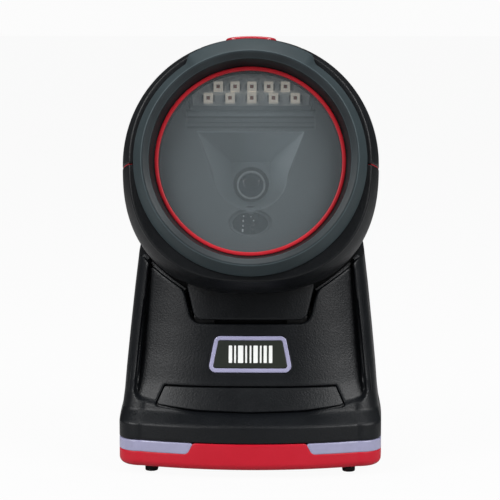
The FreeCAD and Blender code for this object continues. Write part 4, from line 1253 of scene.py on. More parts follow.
# ------------------------------------------------------------------ optics
@dataclass
class Optics:
    """What shows through the window: the moulded housing, LEDs, camera and aimer."""

    place: HeadFrame = field(default_factory=HeadFrame)
    face: float = 12.4
    lens_height: float = -5.4
    aimer_height: float = -20.6
    aimer_squash: float = 1.55
    aimer_radius: float = 5.98
    ledges: tuple[Triple, ...] = ((16.4, 18.4, 1.5), (14.2, 16.4, 0.5), (12.0, 14.2, 0.9))
    ledge_half: float = 22.0
    funnel_depth: float = 13.2
    board: float = 16.4
    led_rows: Pairs = ((27.2, 5.8), (23.2, 7.5))
    led_size: Pair = (3.2, 3.5)
    marks: tuple[Triple, ...] = ((-2.3, 2.5, 0.3), (-2.4, 0.9, 0.4), (-2.5, -0.8, 0.3),
                                                     (-2.6, -2.4, 0.55), (0.3, 2.3, 0.25), (1.1, 1.0, 0.25))

    def hollow(self, x: Numbers, w: Numbers, funnel: Funnel) -> Numbers:
        """Distance outside a flat-topped, round-bottomed outline: the hull of a top edge and a circle."""
        r, rise = funnel.radius, w - funnel.centre
        across, above = np.abs(x), funnel.top - funnel.centre
        reach = math.hypot(funnel.half, above)
        lean = math.atan2(above, funnel.half) - math.acos(min(r / reach, 1.0))
        nx, nz = math.cos(lean), math.sin(lean)
        side = across * nx + rise * nz - r
        past = across * nz - rise * nx > 0
        return np.where(past, np.maximum(np.hypot(across, rise) - r, side), np.maximum(side, w - funnel.top))

    def aimer_distance(self, x: Numbers, w: Numbers) -> Numbers:
        """Distance from the aimer's middle, with heights stretched so that a circle's shape is an oval."""
        return np.hypot(x, (w - self.aimer_height) * self.aimer_squash)

    def relief(self, x: Numbers, w: Numbers) -> Numbers:
        """Depth of the housing's front: ledges under the LEDs, the camera funnel and the aimer recess."""
        depth = np.full_like(x, self.face)
        for low, high, deep in self.ledges:
            inside = np.minimum(np.minimum(w - low, high - w), self.ledge_half - np.abs(x))
            depth += deep * smooth_step(inside / 0.28 + 0.5)
        wide = self.hollow(x, w, Funnel())
        narrow = self.hollow(x, w, Funnel(6.9, 2.6, 6.9, self.lens_height))
        past_rim, to_end = np.clip(-wide, 0, None), np.clip(narrow, 0, None)
        share = past_rim / np.maximum(past_rim + to_end, 1e-6)
        depth += self.funnel_depth * np.where(wide < 0, share, 0.0)
        ring = np.hypot(x, w - self.lens_height)
        depth -= 0.35 * smooth_step((8.0 - ring) / 0.5) * (wide < 0)
        depth += 1.4 * smooth_step((7.2 - self.aimer_distance(x, w)) / 0.3 + 0.5)
        return depth

    def build_housing(self) -> None:
        """The housing is a relief over the window's disc, cut out for the LEDs, the lens and the aimer."""
        def front(x: Numbers, w: Numbers) -> Numbers:
            """Points of the relief."""
            return self.place.out(np.stack([x, self.relief(x, w), w], axis=1))

        def keep(p: Numbers) -> Numbers:
            """Distance inside the housing's outline."""
            h = self.place.back(p)
            leds = convex_distance(h[:, ::2], [(-21.2, 18.7), (21.2, 18.7), (23.4, 40.0), (-23.4, 40.0)],
                                   0.8)
            lens = np.hypot(h[:, 0], h[:, 2] - self.lens_height) - 6.2
            aim = self.aimer_distance(h[:, 0], h[:, 2]) - 6.05
            return np.min([32.5 - np.hypot(h[:, 0], h[:, 2]), leds, lens, aim], axis=0)

        span = np.linspace(-32.8, 32.8, 200)
        sheet = Sheet(front, span, span)
        add_piece("optics_plate", trimmed_shell(sheet, keep, 1.3, 0.25, 2), Finish.OPTICS_GREY, "head",
                  "grey_optics", "optics_housing")

    def build_leds(self) -> None:
        """Ten LED packages in two rows: a cream body with a sunk middle, a die and a pad each side."""
        sx, sz = (s / 2 for s in self.led_size)
        body = [(0.05, 0.0), (0.0, 0.05), (0.0, 1.35), (0.12, 1.48), (0.42, 1.5), (0.58, 1.32), (1.2, 1.3)]
        pad = [(0.02, 0.0), (0.0, 0.04), (0.0, 0.42), (0.08, 0.5)]
        die = [(0.0, 0.0), (0.0, 0.1), (0.06, 0.15)]
        stand = self.place.standing
        bodies, pads, dies = [], [], []
        for height, pitch in self.led_rows:
            for k in range(-2, 3):
                x = k * pitch + 0.3
                spot = self.place.out(np.array([[x, self.board, height]]))[0]
                bodies.append(stacked(sx, sz, 0.25, body).moved(stand, spot))
                for side in (-1, 1):
                    spot = self.place.out(np.array([[x + side * (sx + 0.28), self.board, height]]))[0]
                    pads.append(stacked(0.3, 1.2, 0.12, pad, 3).moved(stand, spot))
                spot = self.place.out(np.array([[x, self.board - 1.28, height]]))[0]
                dies.append(stacked(0.62, 0.62, 0.08, die, 3).moved(stand, spot))
        add_piece("led_packages", bodies[0].joined(*bodies[1:]), Finish.LED_CREAM, "head", "led_package",
                  "illumination_leds", crease=30)
        add_piece("led_pads", pads[0].joined(*pads[1:]), Finish.STEEL, "head", "led_package", crease=30)
        add_piece("led_dies", dies[0].joined(*dies[1:]), Finish.LED_DIE, "head", "led_package", crease=30)

    def build_camera(self) -> None:
        """The camera's barrel with a pale lip that has a painted glow, and its domed lens."""
        barrel = rounded_path([(4.3, 27.0), (6.0, 27.0), (6.0, 33.8), (3.2, 33.8), (3.2, 29.6), (4.3, 29.6)],
                              [0.1, 0.4, 0.2, 0.1, 0.1, 0.1], True)
        lip = rounded_path([(4.32, 26.4), (4.98, 26.4), (4.98, 27.2), (4.32, 27.2)], [0.2, 0.2, 0.05, 0.05],
                           True)
        spot = (0.0, self.lens_height)
        add_piece("lens_barrel", turned(barrel, self.place, spot, 96), Finish.INNER_GREY, "head",
                  "black_inner", "camera_lens_barrel")
        # The lip is pale plastic with a painted glow.
        add_piece("lens_lip", turned(lip, self.place, spot, 96), Finish.BARREL_GREY, "head", "black_inner")
        bow = np.linspace(0, 1, 14)
        dome = np.stack([4.15 * bow, 27.0 + 1.1 * bow ** 2], axis=1)
        lens = np.concatenate([dome, [[4.2, 28.3], [4.2, 29.3], [0.0, 29.4]]])
        add_piece("lens_dome", turned(lens, self.place, spot, 96, solid=True), Finish.LENS_GLASS, "head",
                  "lens_glass", "camera_lens")

    def build_aimer(self) -> None:
        """The aimer's lens: a disc whose front carries a column of small lenslets and two shallow facets."""
        def front(x: Numbers, w: Numbers) -> Numbers:
            """Points of the lens's front."""
            h = w - self.aimer_height
            depth = 14.2 + 0.15 * smooth_step(np.abs(x - 3.0) - 0.2) * (x > 0)
            for k in range(4):
                near = np.hypot(x - 0.6, h - 2.2 + 1.5 * k)
                depth = depth - 0.4 * np.sqrt(np.clip(1 - (near / 0.65) ** 2, 0, None))
            return self.place.out(np.stack([x, depth, w], axis=1))

        def keep(p: Numbers) -> Numbers:
            """Distance inside the lens's edge."""
            h = self.place.back(p)
            return self.aimer_radius - self.aimer_distance(h[:, 0], h[:, 2])

        reach = 6.1
        heights = np.linspace(self.aimer_height - reach, self.aimer_height + reach, 90)
        sheet = Sheet(front, np.linspace(-reach, reach, 90), heights)
        add_piece("aimer_disc", trimmed_shell(sheet, keep, 1.4, 0.2, 2), Finish.AIMER_GLASS, "head",
                  "lens_glass", "aimer_lens")
        stand = self.place.standing
        bead = [(0.12, 0.0), (0.0, 0.1), (0.1, 0.28)]
        marks = []
        for x, height, half in self.marks:
            spot = self.place.out(np.array([[x, 14.25, self.aimer_height + height]]))[0]
            marks.append(stacked(0.28, half, 0.2, bead, 3).moved(stand, spot))
        # The marks are pale, with a painted glow.
        add_piece("aimer_marks", marks[0].joined(*marks[1:]), Finish.MARK_PALE, "head", "lens_glass",
                  crease=30)

    def build(self) -> None:
        """Makes everything behind the window."""
        self.build_housing()
        self.build_leds()
        self.build_camera()
        self.build_aimer()


# ------------------------------------------------------------------ stand
@dataclass(frozen=True)
class Plan:
    """The stand's plan outline: a bowed front, slightly bowed sides and back, and round corners."""

    front_bow: float = 103.0
    rear_bow: float = 160.0
    corner: float = 8.0
    side_bulge: float = 0.95

    def points(self, s: Numbers, side: Numbers, front: Numbers, rear: Numbers,
               corner: Numbers) -> tuple[Numbers, Numbers]:
        """The outline's x and y.

        s runs round from the middle of the front through nine stretches: half the front, a corner, a side,
        a corner, the back, and the same again in reverse order. The front is front + x^2 / (2 bow), a
        corner is a quarter circle, and a side is side + bulge (1 - t^2).

        Args:
            s: the place along the outline, 0 to 9.
            side: half the width at the corners.
            front: y of the middle of the front.
            rear: y of the middle of the back.
            corner: the corners' radius.

        Returns:
            The x and the y of each point.
        """
        mirror = s > 4.5
        run = np.where(mirror, 9.0 - s, s)
        stretch = np.clip(np.floor(run), 0, 4)
        t = run - stretch
        xf = side - corner
        yf = front + xf ** 2 / (2 * self.front_bow)
        yr = rear - xf ** 2 / (2 * self.rear_bow)
        turn = t * math.pi / 2
        y_side = yf + corner + (yr - yf - 2 * corner) * t
        x_back = xf * (1 - 2 * t)
        choices = [stretch == k for k in range(5)]
        x = np.select(choices, [xf * t, xf + corner * np.sin(turn), side + self.side_bulge
                                * (1 - (2 * t - 1) ** 2), xf + corner * np.cos(turn), x_back])
        y = np.select(choices, [front + (xf * t) ** 2 / (2 * self.front_bow),
                                yf + corner * (1 - np.cos(turn)), y_side, yr - corner * (1 - np.sin(turn)),
                                rear - x_back ** 2 / (2 * self.rear_bow)])
        return np.where(mirror, -x, x), y

    def steps(self, half_front: int, corner: int, side: int, back: int) -> Numbers:
        """Values of s from 0 to 9 with a chosen number of steps in each stretch."""
        counts = [half_front, corner, side, corner, back, corner, side, corner, half_front]
        lines = [k + np.arange(n) / n for k, n in enumerate(counts)]
        return np.concatenate(lines + [np.array([9.0])])


@dataclass(frozen=True)
class StandForm:
    """The heights and depths that shape the stand."""

    plan: Plan = Plan()
    base_side: float = 45.0
    base_depth: float = 47.0
    tray: Pair = (2.6, 11.8)
    rim: Pair = (12.0, 17.6)
    top: float = 80.0
    top_slope: float = 0.16
    front_rows: Pairs = ((17.6, -39.6), (21, -33.4), (26, -31.4), (34, -28.8), (46, -24.6),
                                                   (60, -19.8), (72, -16.2), (80, -14.0))
    rear_rows: Pairs = ((17.6, 47.0), (21, 44.6), (26, 42.8), (34, 40.8), (46, 38.6),
                                                  (60, 36.4), (72, 34.2), (80, 32.4))
    side_rows: Pairs = ((17.6, 45.0), (21, 44.3), (26, 43.7), (34, 43.1), (46, 42.0),
                                                  (60, 40.6), (72, 39.2), (80, 38.1))
    panel_rows: Pairs = ((18, -41.0), (21, -38.8), (24, -36.9), (30, -33.9), (40, -30.8),
                                                   (50, -28.3), (60, -26.3), (70, -24.6), (80, -23.2))
    inset: Pairs = ((-39.6, 25.2), (-20.0, 21.7), (0.0, 21.0), (20.0, 21.7), (39.6, 25.2), (37.1, 50.0),
                    (34.8, 70.0), (33.0, 90.0), (-33.0, 90.0), (-34.8, 70.0), (-37.1, 50.0))
    fin_x: float = 39.0
    crease: float = 1.3
    soften: float = 0.55

    def rear_y(self, x: Numbers, z: Numbers) -> Numbers:
        """The back's depth: the table's value less x^2 / (2 bow)."""
        return soft_table(z, self.rear_rows, self.soften) - x ** 2 / (2 * self.plan.rear_bow)

    def panel_y(self, x: Numbers, z: Numbers) -> Numbers:
        """The inset front's depth: flat in the middle, falling back with the cube of x towards the fins."""
        bend = 1.2e-4 + 0.9e-4 * (z - 21) / 55
        return soft_table(z, self.panel_rows, 1.6) + bend * np.abs(x) ** 3

    def front_y(self, x: Numbers, z: Numbers) -> Numbers:
        """The front's depth: the inset front, and beside it the bowed fins with their round corners."""
        plan = self.plan
        side = soft_table(z, self.side_rows, self.soften)
        virtual = soft_table(z, self.front_rows, self.soften) - self.fin_x ** 2 / (2 * plan.front_bow)
        xf = side - plan.corner
        past = np.clip(np.abs(x) - xf, 0, plan.corner)
        reach = np.minimum(np.abs(x), xf)
        bowed = virtual + reach ** 2 / (2 * plan.front_bow) + plan.corner - np.sqrt(plan.corner ** 2
                                                                                    - past ** 2)
        out = convex_distance(np.stack([x, z], axis=1), self.inset, 3.0)
        share = smooth_step((out + 0.25) / self.crease)
        return np.maximum(self.panel_y(x, z), bowed) * (1 - share) + bowed * share

    def housing(self, s: Numbers, z: Numbers) -> Numbers:
        """The housing's outer skin round the outline and up, with the inset front sunk between the fins."""
        low = z < self.rim[1]
        side = np.where(low, self.base_side, soft_table(z, self.side_rows, self.soften))
        virtual = soft_table(z, self.front_rows, self.soften) - self.fin_x ** 2 / (2 * self.plan.front_bow)
        front = np.where(low, np.maximum(virtual, -self.base_depth), virtual)
        front = np.maximum(front, -self.base_depth)
        rear = np.minimum(soft_table(z, self.rear_rows, self.soften), self.base_depth)
        x, y = self.plan.points(s, side, front, rear, np.full_like(z, self.plan.corner))
        out = convex_distance(np.stack([x, z], axis=1), self.inset, 3.0)
        share = smooth_step((out + 0.25) / self.crease)
        sunk = np.maximum(self.panel_y(x, z), y)
        facing = (s < 2.0) | (s > 7.0)
        y = np.where(facing, sunk * (1 - share) + y * share, y)
        return np.stack([x, y, z], axis=1)


TONGUE = Outline(((-19.3, 51.4), (19.3, 51.4), (23.0, 66.0), (-23.0, 66.0)), 3.2)
TONGUE_WAY = Outline(((-19.3, 51.4), (19.3, 51.4), (23.0, 66.0), (26.0, 78.0), (-26.0, 78.0), (-23.0, 66.0)),
                     3.2)
PLATE = Outline(((-32.6, 22.9), (-18.0, 21.6), (0.0, 21.05), (18.0, 21.6), (32.6, 22.9), (29.6, 29.2),
                 (-29.6, 29.2)), 0.6)
BADGE = Outline(((-14.7, 33.9), (14.7, 33.9), (12.2, 46.1), (-12.2, 46.1)), 2.3)
REAR_COVER = Outline(((-27.0, 21.5), (27.0, 21.5), (25.0, 65.0), (-25.0, 65.0)), 4.0)


@dataclass(frozen=True)
class HeadRoom:
    """The space that the head sweeps as it tilts."""

    form: HeadForm = HeadForm()
    radius: float = 47.4
    extra: float = 1.4
    pivot: Pair = (-20.5, 50.0)
    angles: tuple[float, ...] = (-12.0, -6.0, 0.0, 8.0)

    def distance(self, p: Numbers) -> Numbers:
        """Distance outside the swept space: at each tilt, the distance from the axis less the radius."""
        nearest = np.full(len(p), np.inf)
        for angle in self.angles:
            c, s = math.cos(math.radians(angle)), math.sin(math.radians(angle))
            y, z = p[:, 1] - self.pivot[0], p[:, 2] - self.pivot[1]
            turned_back = np.stack([p[:, 0], self.pivot[0] + y * c + z * s, self.pivot[1] - y * s + z * c],
                                   axis=1)
            h = self.form.place.back(turned_back)
            size = self.radius * self.form.scale(h[:, 1], self.extra)
            gap = np.hypot(h[:, 0], h[:, 2]) - size
            gap = np.where(h[:, 1] > -3.0, gap, FAR)
            nearest = np.minimum(nearest, gap)
        return nearest


@dataclass
class Stand:
    """The housing with its saddle, the front pieces and the rear cover."""

    form: StandForm = field(default_factory=StandForm)
    room: HeadRoom = field(default_factory=HeadRoom)
    wall: float = 2.0
    neck_gap: float = 1.35
    seam: float = 0.15
    saddle_margin: float = 1.8
    middle: Pair = (0.0, 9.0)
    search: Pair = (48.0, 86.0)
    cover_screws: Pairs = ((20.0, 60.0), (-20.0, 60.0), (22.0, 26.0), (-22.0, 26.0))
    bars: Pairs = ((1.2, 0.7), (0.6, 0.7), (1.8, 0.7), (0.6, 0.9), (0.6, 0.7), (1.5, 0.7),
                                             (0.6, 0.7), (1.1, 0.7), (1.2, 0.0))
    bars_start: float = -7.4
    bars_half: float = 2.9
    bars_height: float = 40.0
    speaker_height: float = 54.0
    speaker_rings: tuple[tuple[float, int], ...] = ((0.0, 1), (3.4, 6), (6.8, 12))

    def top(self, p: Numbers) -> Numbers:
        """Distance under the stand's sloping top."""
        return self.form.top - np.maximum(p[:, 1] - 4.0, 0) * self.form.top_slope - p[:, 2]

    def housing_keep(self, p: Numbers) -> Numbers:
        """Distance inside the housing's outline: its openings, the saddle, its top and its lower edge."""
        front = p[:, 1] < 0
        tongue = np.where(front, TONGUE_WAY.outside(p, self.neck_gap), FAR)
        plate = np.where(front, PLATE.outside(p, self.seam), FAR)
        badge = np.where(front, BADGE.outside(p), FAR)
        cover = np.where(front, FAR, REAR_COVER.outside(p, self.seam))
        outward = p[:, :2] - np.array(self.middle)
        outward = outward / np.maximum(np.linalg.norm(outward, axis=1, keepdims=True), 1e-6)
        inner = p - np.column_stack([outward, np.zeros(len(p))]) * (self.wall + 0.2)
        upper = soft_min(np.minimum(self.room.distance(p), self.room.distance(inner)), self.top(p), 1.6)
        return np.min([soft_min(tongue, upper, 1.2), plate, badge, cover, p[:, 2] - self.form.rim[0]],
                      axis=0)

    def saddle_height(self, x: Numbers, y: Numbers) -> Numbers:
        """The lowest height that the head sweeps above each point: a coarse scan upwards, then halving."""
        def gap(z: Numbers) -> Numbers:
            """Distance outside the swept space at a height."""
            return self.room.distance(np.stack([x, y, z], axis=1))

        lowest, highest = self.search
        high = np.full_like(x, highest)
        for z in np.arange(highest, lowest, -1.0):
            touched = gap(np.full_like(x, z)) < 0
            high = np.where(touched, z, high)
        low = high - 1.0
        for _ in range(12):
            middle = (low + high) / 2
            inside = gap(middle) < 0
            high, low = np.where(inside, middle, high), np.where(inside, low, middle)
        return (low + high) / 2

    def build_housing(self) -> None:
        """The outer skin, and the saddle that dips under the head."""
        plan = self.form.plan
        heights = np.concatenate([np.linspace(12.0, 16.6, 5), np.linspace(16.9, 18.6, 9), np.linspace(18.9,
                                                                                                      20.4,
                                                                                                      4),
                                  np.linspace(20.6, 27.0, 20), np.linspace(27.6, 81.0, 76)])
        skin = Sheet(self.form.housing, plan.steps(58, 26, 44, 56), heights, wrap=True)
        outer = trimmed_shell(skin, self.housing_keep, self.wall, 0.5)

        def bowl(x: Numbers, y: Numbers) -> Numbers:
            """Points of the saddle."""
            return np.stack([x, y, self.saddle_height(x, y)], axis=1)

        def keep(p: Numbers) -> Numbers:
            """Distance inside the stand's walls, clear of the neck's opening."""
            side = soft_table(p[:, 2], self.form.side_rows, 0.5) - self.saddle_margin - np.abs(p[:, 0])
            front = p[:, 1] - self.form.front_y(p[:, 0], p[:, 2]) - self.saddle_margin
            back = self.form.rear_y(p[:, 0], p[:, 2]) - self.saddle_margin - p[:, 1]
            neck = convex_distance(p[:, :2], rectangle(21.5, -40.0, -6.0), 1.0)
            return np.min([side, front, back, neck, self.top(p)], axis=0)

        sheet = Sheet(bowl, np.linspace(-41.5, 41.5, 84), np.linspace(-30.0, 34.0, 66))
        data = outer.joined(trimmed_shell(sheet, keep, 1.6, 0.2, 2))
        add_piece("stand_shell", data, Finish.SHELL_BLACK, "stand", "black_shell", "stand_housing")

    def front_piece(self, keep: Field, proud: float, span: Triple, cell: float, thick: float,
                    edge: float) -> MeshData:
        """A piece that follows the inset front.

        Args:
            keep: the distance inside its outline.
            proud: how far it stands in front.
            span: half its width, its lowest and its highest height.
            cell: the size of its grid's cells.
            thick: its wall's thickness.
            edge: the rounding of its rim.

        Returns:
            A closed mesh.
        """
        def front(x: Numbers, z: Numbers) -> Numbers:
            """Points in front of the inset."""
            return np.stack([x, self.form.panel_y(x, z) - proud, z], axis=1)

        half, low, high = span
        columns, rows = int(2 * half / cell), int((high - low) / cell)
        sheet = Sheet(front, np.linspace(-half, half, columns), np.linspace(low, high, rows))
        return trimmed_shell(sheet, keep, thick, edge)

    def build_front(self) -> None:
        """The seamed plate, the badge with its light ring, and the bars printed on it."""
        def plate(p: Numbers) -> Numbers:
            """Inside the plate."""
            return PLATE.inside(p, -self.seam)

        def ring(p: Numbers) -> Numbers:
            """Between the ring's two outlines."""
            return np.minimum(BADGE.inside(p, -0.05), BADGE.outside(p, -1.45))

        def badge(p: Numbers) -> Numbers:
            """Inside the badge plate."""
            return BADGE.inside(p, -1.5)

        def printed(p: Numbers) -> Numbers:
            """Inside one of the upright bars."""
            x, best = self.bars_start, np.full(len(p), -FAR)
            for width, gap in self.bars:
                middle = x + width / 2
                across = width / 2 - np.abs(p[:, 0] - middle)
                upright = self.bars_half - np.abs(p[:, 2] - self.bars_height)
                best = np.maximum(best, np.minimum(across, upright))
                x += width + gap
            return best

        def flange(p: Numbers) -> Numbers:
            """Inside the flange behind the plate, which closes its seam."""
            return PLATE.inside(p, 1.7)

        def behind(x: Numbers, z: Numbers) -> Numbers:
            """Points on the housing's inner face."""
            return np.stack([x, self.form.front_y(x, z) + self.wall + 0.1, z], axis=1)

        data = self.front_piece(plate, 0.0, (33.2, 20.6, 29.8), 0.36, 1.6, 0.35)
        sheet = Sheet(behind, np.linspace(-35.4, 35.4, 142), np.linspace(18.4, 31.8, 40))
        lip = trimmed_shell(sheet, flange, 0.6, 0.1)
        add_piece("seamed_plate", data.joined(lip), Finish.SHELL_BLACK, "stand", "black_shell",
                  "front_plate")
        add_piece("badge_ring", self.front_piece(ring, 0.3, (15.2, 33.4, 46.6), 0.2, 2.0, 0.25),
                  Finish.LIGHT_GUIDE, "stand", "light_guide", "badge_light_ring")
        add_piece("badge_face", self.front_piece(badge, 0.1, (14.2, 34.2, 45.8), 0.25, 1.3, 0.2),
                  Finish.BADGE_DARK, "stand", "badge_dark", "badge_plate")
        add_piece("badge_bars", self.front_piece(printed, 0.2, (7.9, 36.9, 43.1), 0.12, 0.25, 0.05),
                  Finish.PRINT_WHITE, "stand", "badge_print", "badge_mark")

    def build_rear(self) -> None:
        """The rear cover, with the speaker's holes, the cable opening and sunk screws."""
        def back(x: Numbers, z: Numbers) -> Numbers:
            """Points of the rear surface; x runs backwards so that it faces outwards."""
            return np.stack([-x, self.form.rear_y(x, z), z], axis=1)

        def keep(p: Numbers) -> Numbers:
            """Inside the cover, clear of its holes."""
            parts = [REAR_COVER.inside(p, -self.seam), Outline(rectangle(7.8, 22.4, 34.8), 0.5).outside(p)]
            parts += [np.hypot(p[:, 0] - x, p[:, 2] - z) - 2.5 for x, z in self.cover_screws]
            for ring, count in self.speaker_rings:
                for k in range(count):
                    a = 2 * math.pi * k / count
                    up = p[:, 2] - self.speaker_height - ring * math.sin(a)
                    parts.append(np.hypot(p[:, 0] - ring * math.cos(a), up) - 0.8)
            return np.min(parts, axis=0)

        def behind(x: Numbers, z: Numbers) -> Numbers:
            """Points of the flange inside the wall."""
            return np.stack([-x, self.form.rear_y(x, z) - 2.2, z], axis=1)

        def flange(p: Numbers) -> Numbers:
            """A band behind the cover's seam."""
            return np.minimum(REAR_COVER.inside(p, 1.3), REAR_COVER.outside(p, -1.6))

        sheet = Sheet(back, np.linspace(-27.5, 27.5, 170), np.linspace(21.0, 65.6, 140))
        band = Sheet(behind, np.linspace(-29.0, 29.0, 90), np.linspace(19.5, 67.0, 80))
        data = trimmed_shell(sheet, keep, 1.9, 0.25, 2).joined(trimmed_shell(band, flange, 0.6, 0.1, 1))
        add_piece("rear_panel", data, Finish.SHELL_BLACK, "stand", "black_shell", "stand_rear_cover")

    def build_neck(self) -> None:
        """The tongue-shaped cover on the neck, which moves with the head."""
        def keep(p: Numbers) -> Numbers:
            """Inside the tongue."""
            return TONGUE.inside(p)

        add_piece("neck_tongue", self.front_piece(keep, 0.0, (23.4, 51.0, 66.4), 0.36, 1.75, 0.6),
                  Finish.SHELL_BLACK, "head", "black_shell", "neck_cover")

    def build(self) -> None:
        """Makes the stand's pieces."""
        self.build_housing()
        self.build_front()
        self.build_rear()
        self.build_neck()


# ------------------------------------------------------------------ base
@dataclass
class Base:
    """The red tray, its light strips and its feet."""

    form: StandForm = field(default_factory=StandForm)
    edge: float = 2.4
    strip_low: float = 8.0
    strip_back: float = -8.9
    strip_start: float = 19.2
    strip_slant: float = 0.53
    foot: Pair = (33.9, 29.0)
    screws: Pairs = ((38.0, -14.0), (-38.0, -14.0), (38.0, 16.0), (-38.0, 16.0))

    def wall(self, s: Numbers, run: Numbers) -> Numbers:
        """The tray's skin: run 0 to 1 is the bottom, 1 to 2 its round edge and 2 to 3 the side."""
        bottom, top = self.form.tray
        turn = np.clip(run - 1, 0, 1) * math.pi / 2
        inset = self.edge * (1 - np.sin(turn))
        z = bottom + self.edge * (1 - np.cos(turn)) + np.clip(run - 2, 0, 1) * (top - bottom - self.edge)
        full = np.ones_like(z)
        x, y = self.form.plan.points(s, full * self.form.base_side - inset, inset - self.form.base_depth,
                                     self.form.base_depth - inset, np.maximum(self.form.plan.corner - inset,
                                                                              2.0))
        share = np.clip(run, 0, 1)
        return np.stack([x * share, y * share, z], axis=1)

    def strip(self, p: Numbers, grow: float) -> Numbers:
        """Distance outside the strips' openings: a slanted inner end, a straight back end, a low edge."""
        inner = self.strip_start + (self.form.tray[1] - p[:, 2]) * self.strip_slant - np.abs(p[:, 0])
        low = self.strip_low - p[:, 2]
        r = 1.0
        corner = np.hypot(np.maximum(r + inner, 0), np.maximum(r + low, 0)) - r
        ends = np.where((inner > -r) & (low > -r), corner, np.maximum(inner, low))
        return np.maximum(ends, p[:, 1] - self.strip_back) - grow

    def build(self) -> None:
        """Makes the tray, the strips and the feet."""
        def tray(p: Numbers) -> Numbers:
            """Inside the tray's outline, clear of its strips and screw holes."""
            holes = [np.hypot(p[:, 0] - x, p[:, 1] - y) - 2.7 for x, y in self.screws]
            sunk = np.where(p[:, 2] < 2.8, np.min(holes, axis=0), FAR)
            return np.min([self.strip(p, 0.0), self.form.tray[1] - p[:, 2], sunk], axis=0)

        rows = np.concatenate([np.linspace(0, 0.78, 6), np.linspace(0.80, 1, 26), np.linspace(1.1, 2, 9),
                               np.linspace(2.1, 3, 12)])
        steps = self.form.plan.steps(46, 14, 62, 50)
        shell = trimmed_shell(Sheet(self.wall, steps, rows, wrap=True), tray, 2.2, 0.3)
        add_piece("tray_shell", shell, Finish.TRAY_RED, "stand", "red_plastic", "base_tray")
        for name, sign, start, stop in (("right", 1.0, 0.3, 2.6), ("left", -1.0, 6.4, 8.7)):
            def strip(p: Numbers, sign: float = sign) -> Numbers:
                """Inside one light strip."""
                return np.minimum(-self.strip(p, 0.1), np.minimum(self.form.tray[1] - p[:, 2],
                                                                  sign * p[:, 0]))

            sheet = Sheet(self.wall, np.linspace(start, stop, 150), np.linspace(1.9, 3, 26))
            add_piece("light_strip_piece_" + name, trimmed_shell(sheet, strip, 1.5, 0.4, 4),
                      Finish.LIGHT_GUIDE, "stand", "light_guide", "light_strip_" + name)
        foot_rows = [(1.0, 0.15), (0.45, 0.0), (0.12, 0.12), (0.0, 0.45), (0.0, 3.4), (0.2, 3.6)]
        spots = [np.array([sx * self.foot[0], sy * self.foot[1], 0.0]) for sx in (-1, 1) for sy in (-1, 1)]
        feet = [stacked(2.2, 7.0, 2.15, foot_rows, 8).moved(np.eye(3), spot) for spot in spots]
        add_piece("foot_pads", feet[0].joined(*feet[1:]), Finish.FOOT_RUBBER, "stand", "gasket_rubber",
                  "rubber_feet")


# ------------------------------------------------------------------ CAD pieces that stay
CARRIED = {Finish.GASKET_RED: ("seam_gasket",), Finish.DARK_STEEL: ("head_rear_screws", "rear_cover_screws",
                                                                    "base_screws", "neck_screws",
                                                                    "bracket_screws", "optics_screws"),
           Finish.PAINTED_STEEL: ("hinge_bracket", "friction_washers", "tilt_axle"),
           Finish.STEEL: ("button_board_screws", "ballast_plate", "aimer_emitter"),
           Finish.CONTACT_GOLD: ("socket_contacts",), Finish.BRASS: ("board_spacers",),
           Finish.BOARD: ("camera_board", "decoder_board", "button_board", "interface_board",
                          "indicator_board", "strip_led_boards"), Finish.LED_BOARD: ("led_board",),
           Finish.OPTICS_GREY: ("led_frame",), Finish.INNER_BLACK: ("aimer_holder", "cable_socket",
                                                                    "button_switch", "decoder_chips",
                                                                    "image_sensor", "speaker", "neck_arm"),
           Finish.INNER_GREY: ("head_chassis",), Finish.PRINT_WHITE: ("switch_plunger",),
           Finish.LED_CREAM: ("indicator_leds",), Finish.FOOT_RUBBER: ("window_gasket",),}


def dress_carried() -> None:
    """Gives every CAD node that stays its finish."""
    for finish, names in CARRIED.items():
        for name in names:
            dress(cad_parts[name], finish)
    LOG.info("%d carried CAD nodes dressed", sum(len(names) for names in CARRIED.values()))


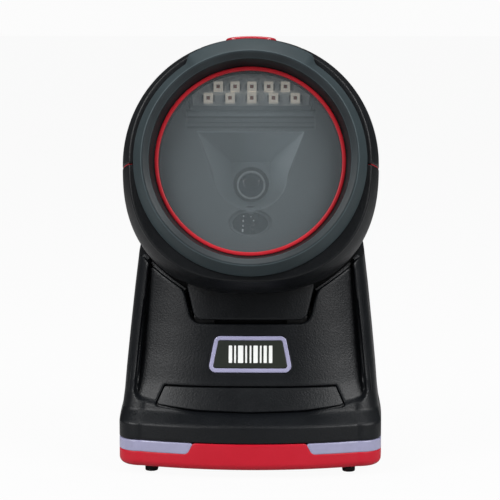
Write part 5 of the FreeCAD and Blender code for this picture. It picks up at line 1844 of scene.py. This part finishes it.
# ------------------------------------------------------------------ studio
@dataclass
class Studio:
    """A pale floor, soft lights and the camera."""

    azimuth: float = math.radians(1.0)
    elevation: float = math.radians(7.0)
    distance: float = 0.750
    aim_height: float = 0.075
    lens: float = 151.7
    shift: Pair = (-0.0036, -0.0158)
    floor_white: float = 0.95
    floor_grey: Colour = (0.40, 0.40, 0.40, 1.0)
    room_light: float = 0.06
    backdrop: float = 0.97

    def soft_light(self, name: str, spot: Triple, aim: Triple, size: Pair,
                   power: float) -> None:
        """A rectangular soft light.

        Args:
            name: its name.
            spot: where it is, in metres.
            aim: where it points.
            size: its width and height.
            power: its power in watts.
        """
        data = bpy.data.lights.new(name, "AREA")
        data.shape = "RECTANGLE"
        data.size, data.size_y = size
        data.energy = power
        light = bpy.data.objects.new(name, data)
        bpy.context.scene.collection.objects.link(light)
        light.location = spot
        light.rotation_euler = aim_angles(np.array(aim) - np.array(spot))

    def build(self) -> None:
        """Makes the floor, the lights, the world and the camera."""
        scene = bpy.context.scene
        floor = bpy.data.meshes.new("floor")
        half = 6.0
        floor.from_pydata([(-half, -half, 0), (half, -half, 0), (half, half, 0), (-half, half, 0)], [],
                          [(0, 1, 2, 3)])
        ground = bpy.data.objects.new("floor", floor)
        scene.collection.objects.link(ground)
        paper = Shader("floor_paper")
        paper.surface(Base_Color=self.floor_grey, Roughness=0.9, Specular_IOR_Level=0.1)
        seen = Sock(paper, paper.node("ShaderNodeLightPath", {}, {}).outputs["Is Camera Ray"])
        white = paper.node("ShaderNodeEmission", {}, {0: (1.0, 1.0, 1.0, 1.0), 1: 1.0})
        mix = paper.node("ShaderNodeMixShader", {}, {0: seen * self.floor_white,
                                                     1: Sock(paper, paper.body.outputs[0]),
                                                     2: Sock(paper, white.outputs[0])})
        paper.tree.links.new(mix.outputs[0], paper.output.inputs[0])
        floor.materials.append(paper.material)

        for name, side in (("left", -1.0), ("right", 1.0)):
            self.soft_light(name + "_softbox", (0.56 * side, -0.64, 0.20), (0, -0.02, 0.07), (0.20, 0.60),
                            1.6)
            self.soft_light(name + "_key", (0.70 * side, -0.42, 0.72), (0, -0.02, 0.08), (0.45, 0.45), 9.0)
        self.soft_light("top_softbox", (0.0, 0.05, 0.85), (0, 0.0, 0.10), (0.50, 0.40), 3.5)

        world = bpy.data.worlds.new("studio")
        scene.world = world
        world.use_nodes = True
        nodes, links = world.node_tree.nodes, world.node_tree.links
        nodes["Background"].inputs[0].default_value = (1.0, 1.0, 1.0, 1.0)
        path = nodes.new("ShaderNodeLightPath")
        strength = nodes.new("ShaderNodeMapRange")
        strength.inputs["To Min"].default_value = self.room_light
        strength.inputs["To Max"].default_value = self.backdrop
        links.new(path.outputs["Is Camera Ray"], strength.inputs["Value"])
        links.new(strength.outputs[0], nodes["Background"].inputs[1])
        scene.view_settings.view_transform = "Standard"

        lens = bpy.data.cameras.new("camera")
        lens.lens, lens.sensor_width = self.lens, 36.0
        lens.shift_x, lens.shift_y = self.shift
        camera = bpy.data.objects.new("camera", lens)
        scene.collection.objects.link(camera)
        e, a = self.elevation, self.azimuth
        back = np.array([math.sin(a) * math.cos(e), -math.cos(a) * math.cos(e), math.sin(e)])
        camera.location = tuple(np.array([0.0, 0.0, self.aim_height]) + self.distance * back)
        camera.rotation_euler = aim_angles(-back)
        scene.camera = camera


def aim_angles(way: Numbers) -> Triple:
    """Euler angles that turn an object's -Z towards a direction and keep its top up."""
    flat = math.hypot(way[0], way[1])
    return (math.atan2(flat, -way[2]), 0.0, math.atan2(-way[0], way[1]))


def main() -> None:
    """Builds the scanner and its studio."""
    logging.basicConfig(level=logging.INFO, format="%(message)s")
    Studio().build()
    ScanHead().build()
    WindowGroup().build()
    Optics().build()
    Stand().build()
    Base().build()
    dress_carried()


if __name__ == "__main__":
    main()
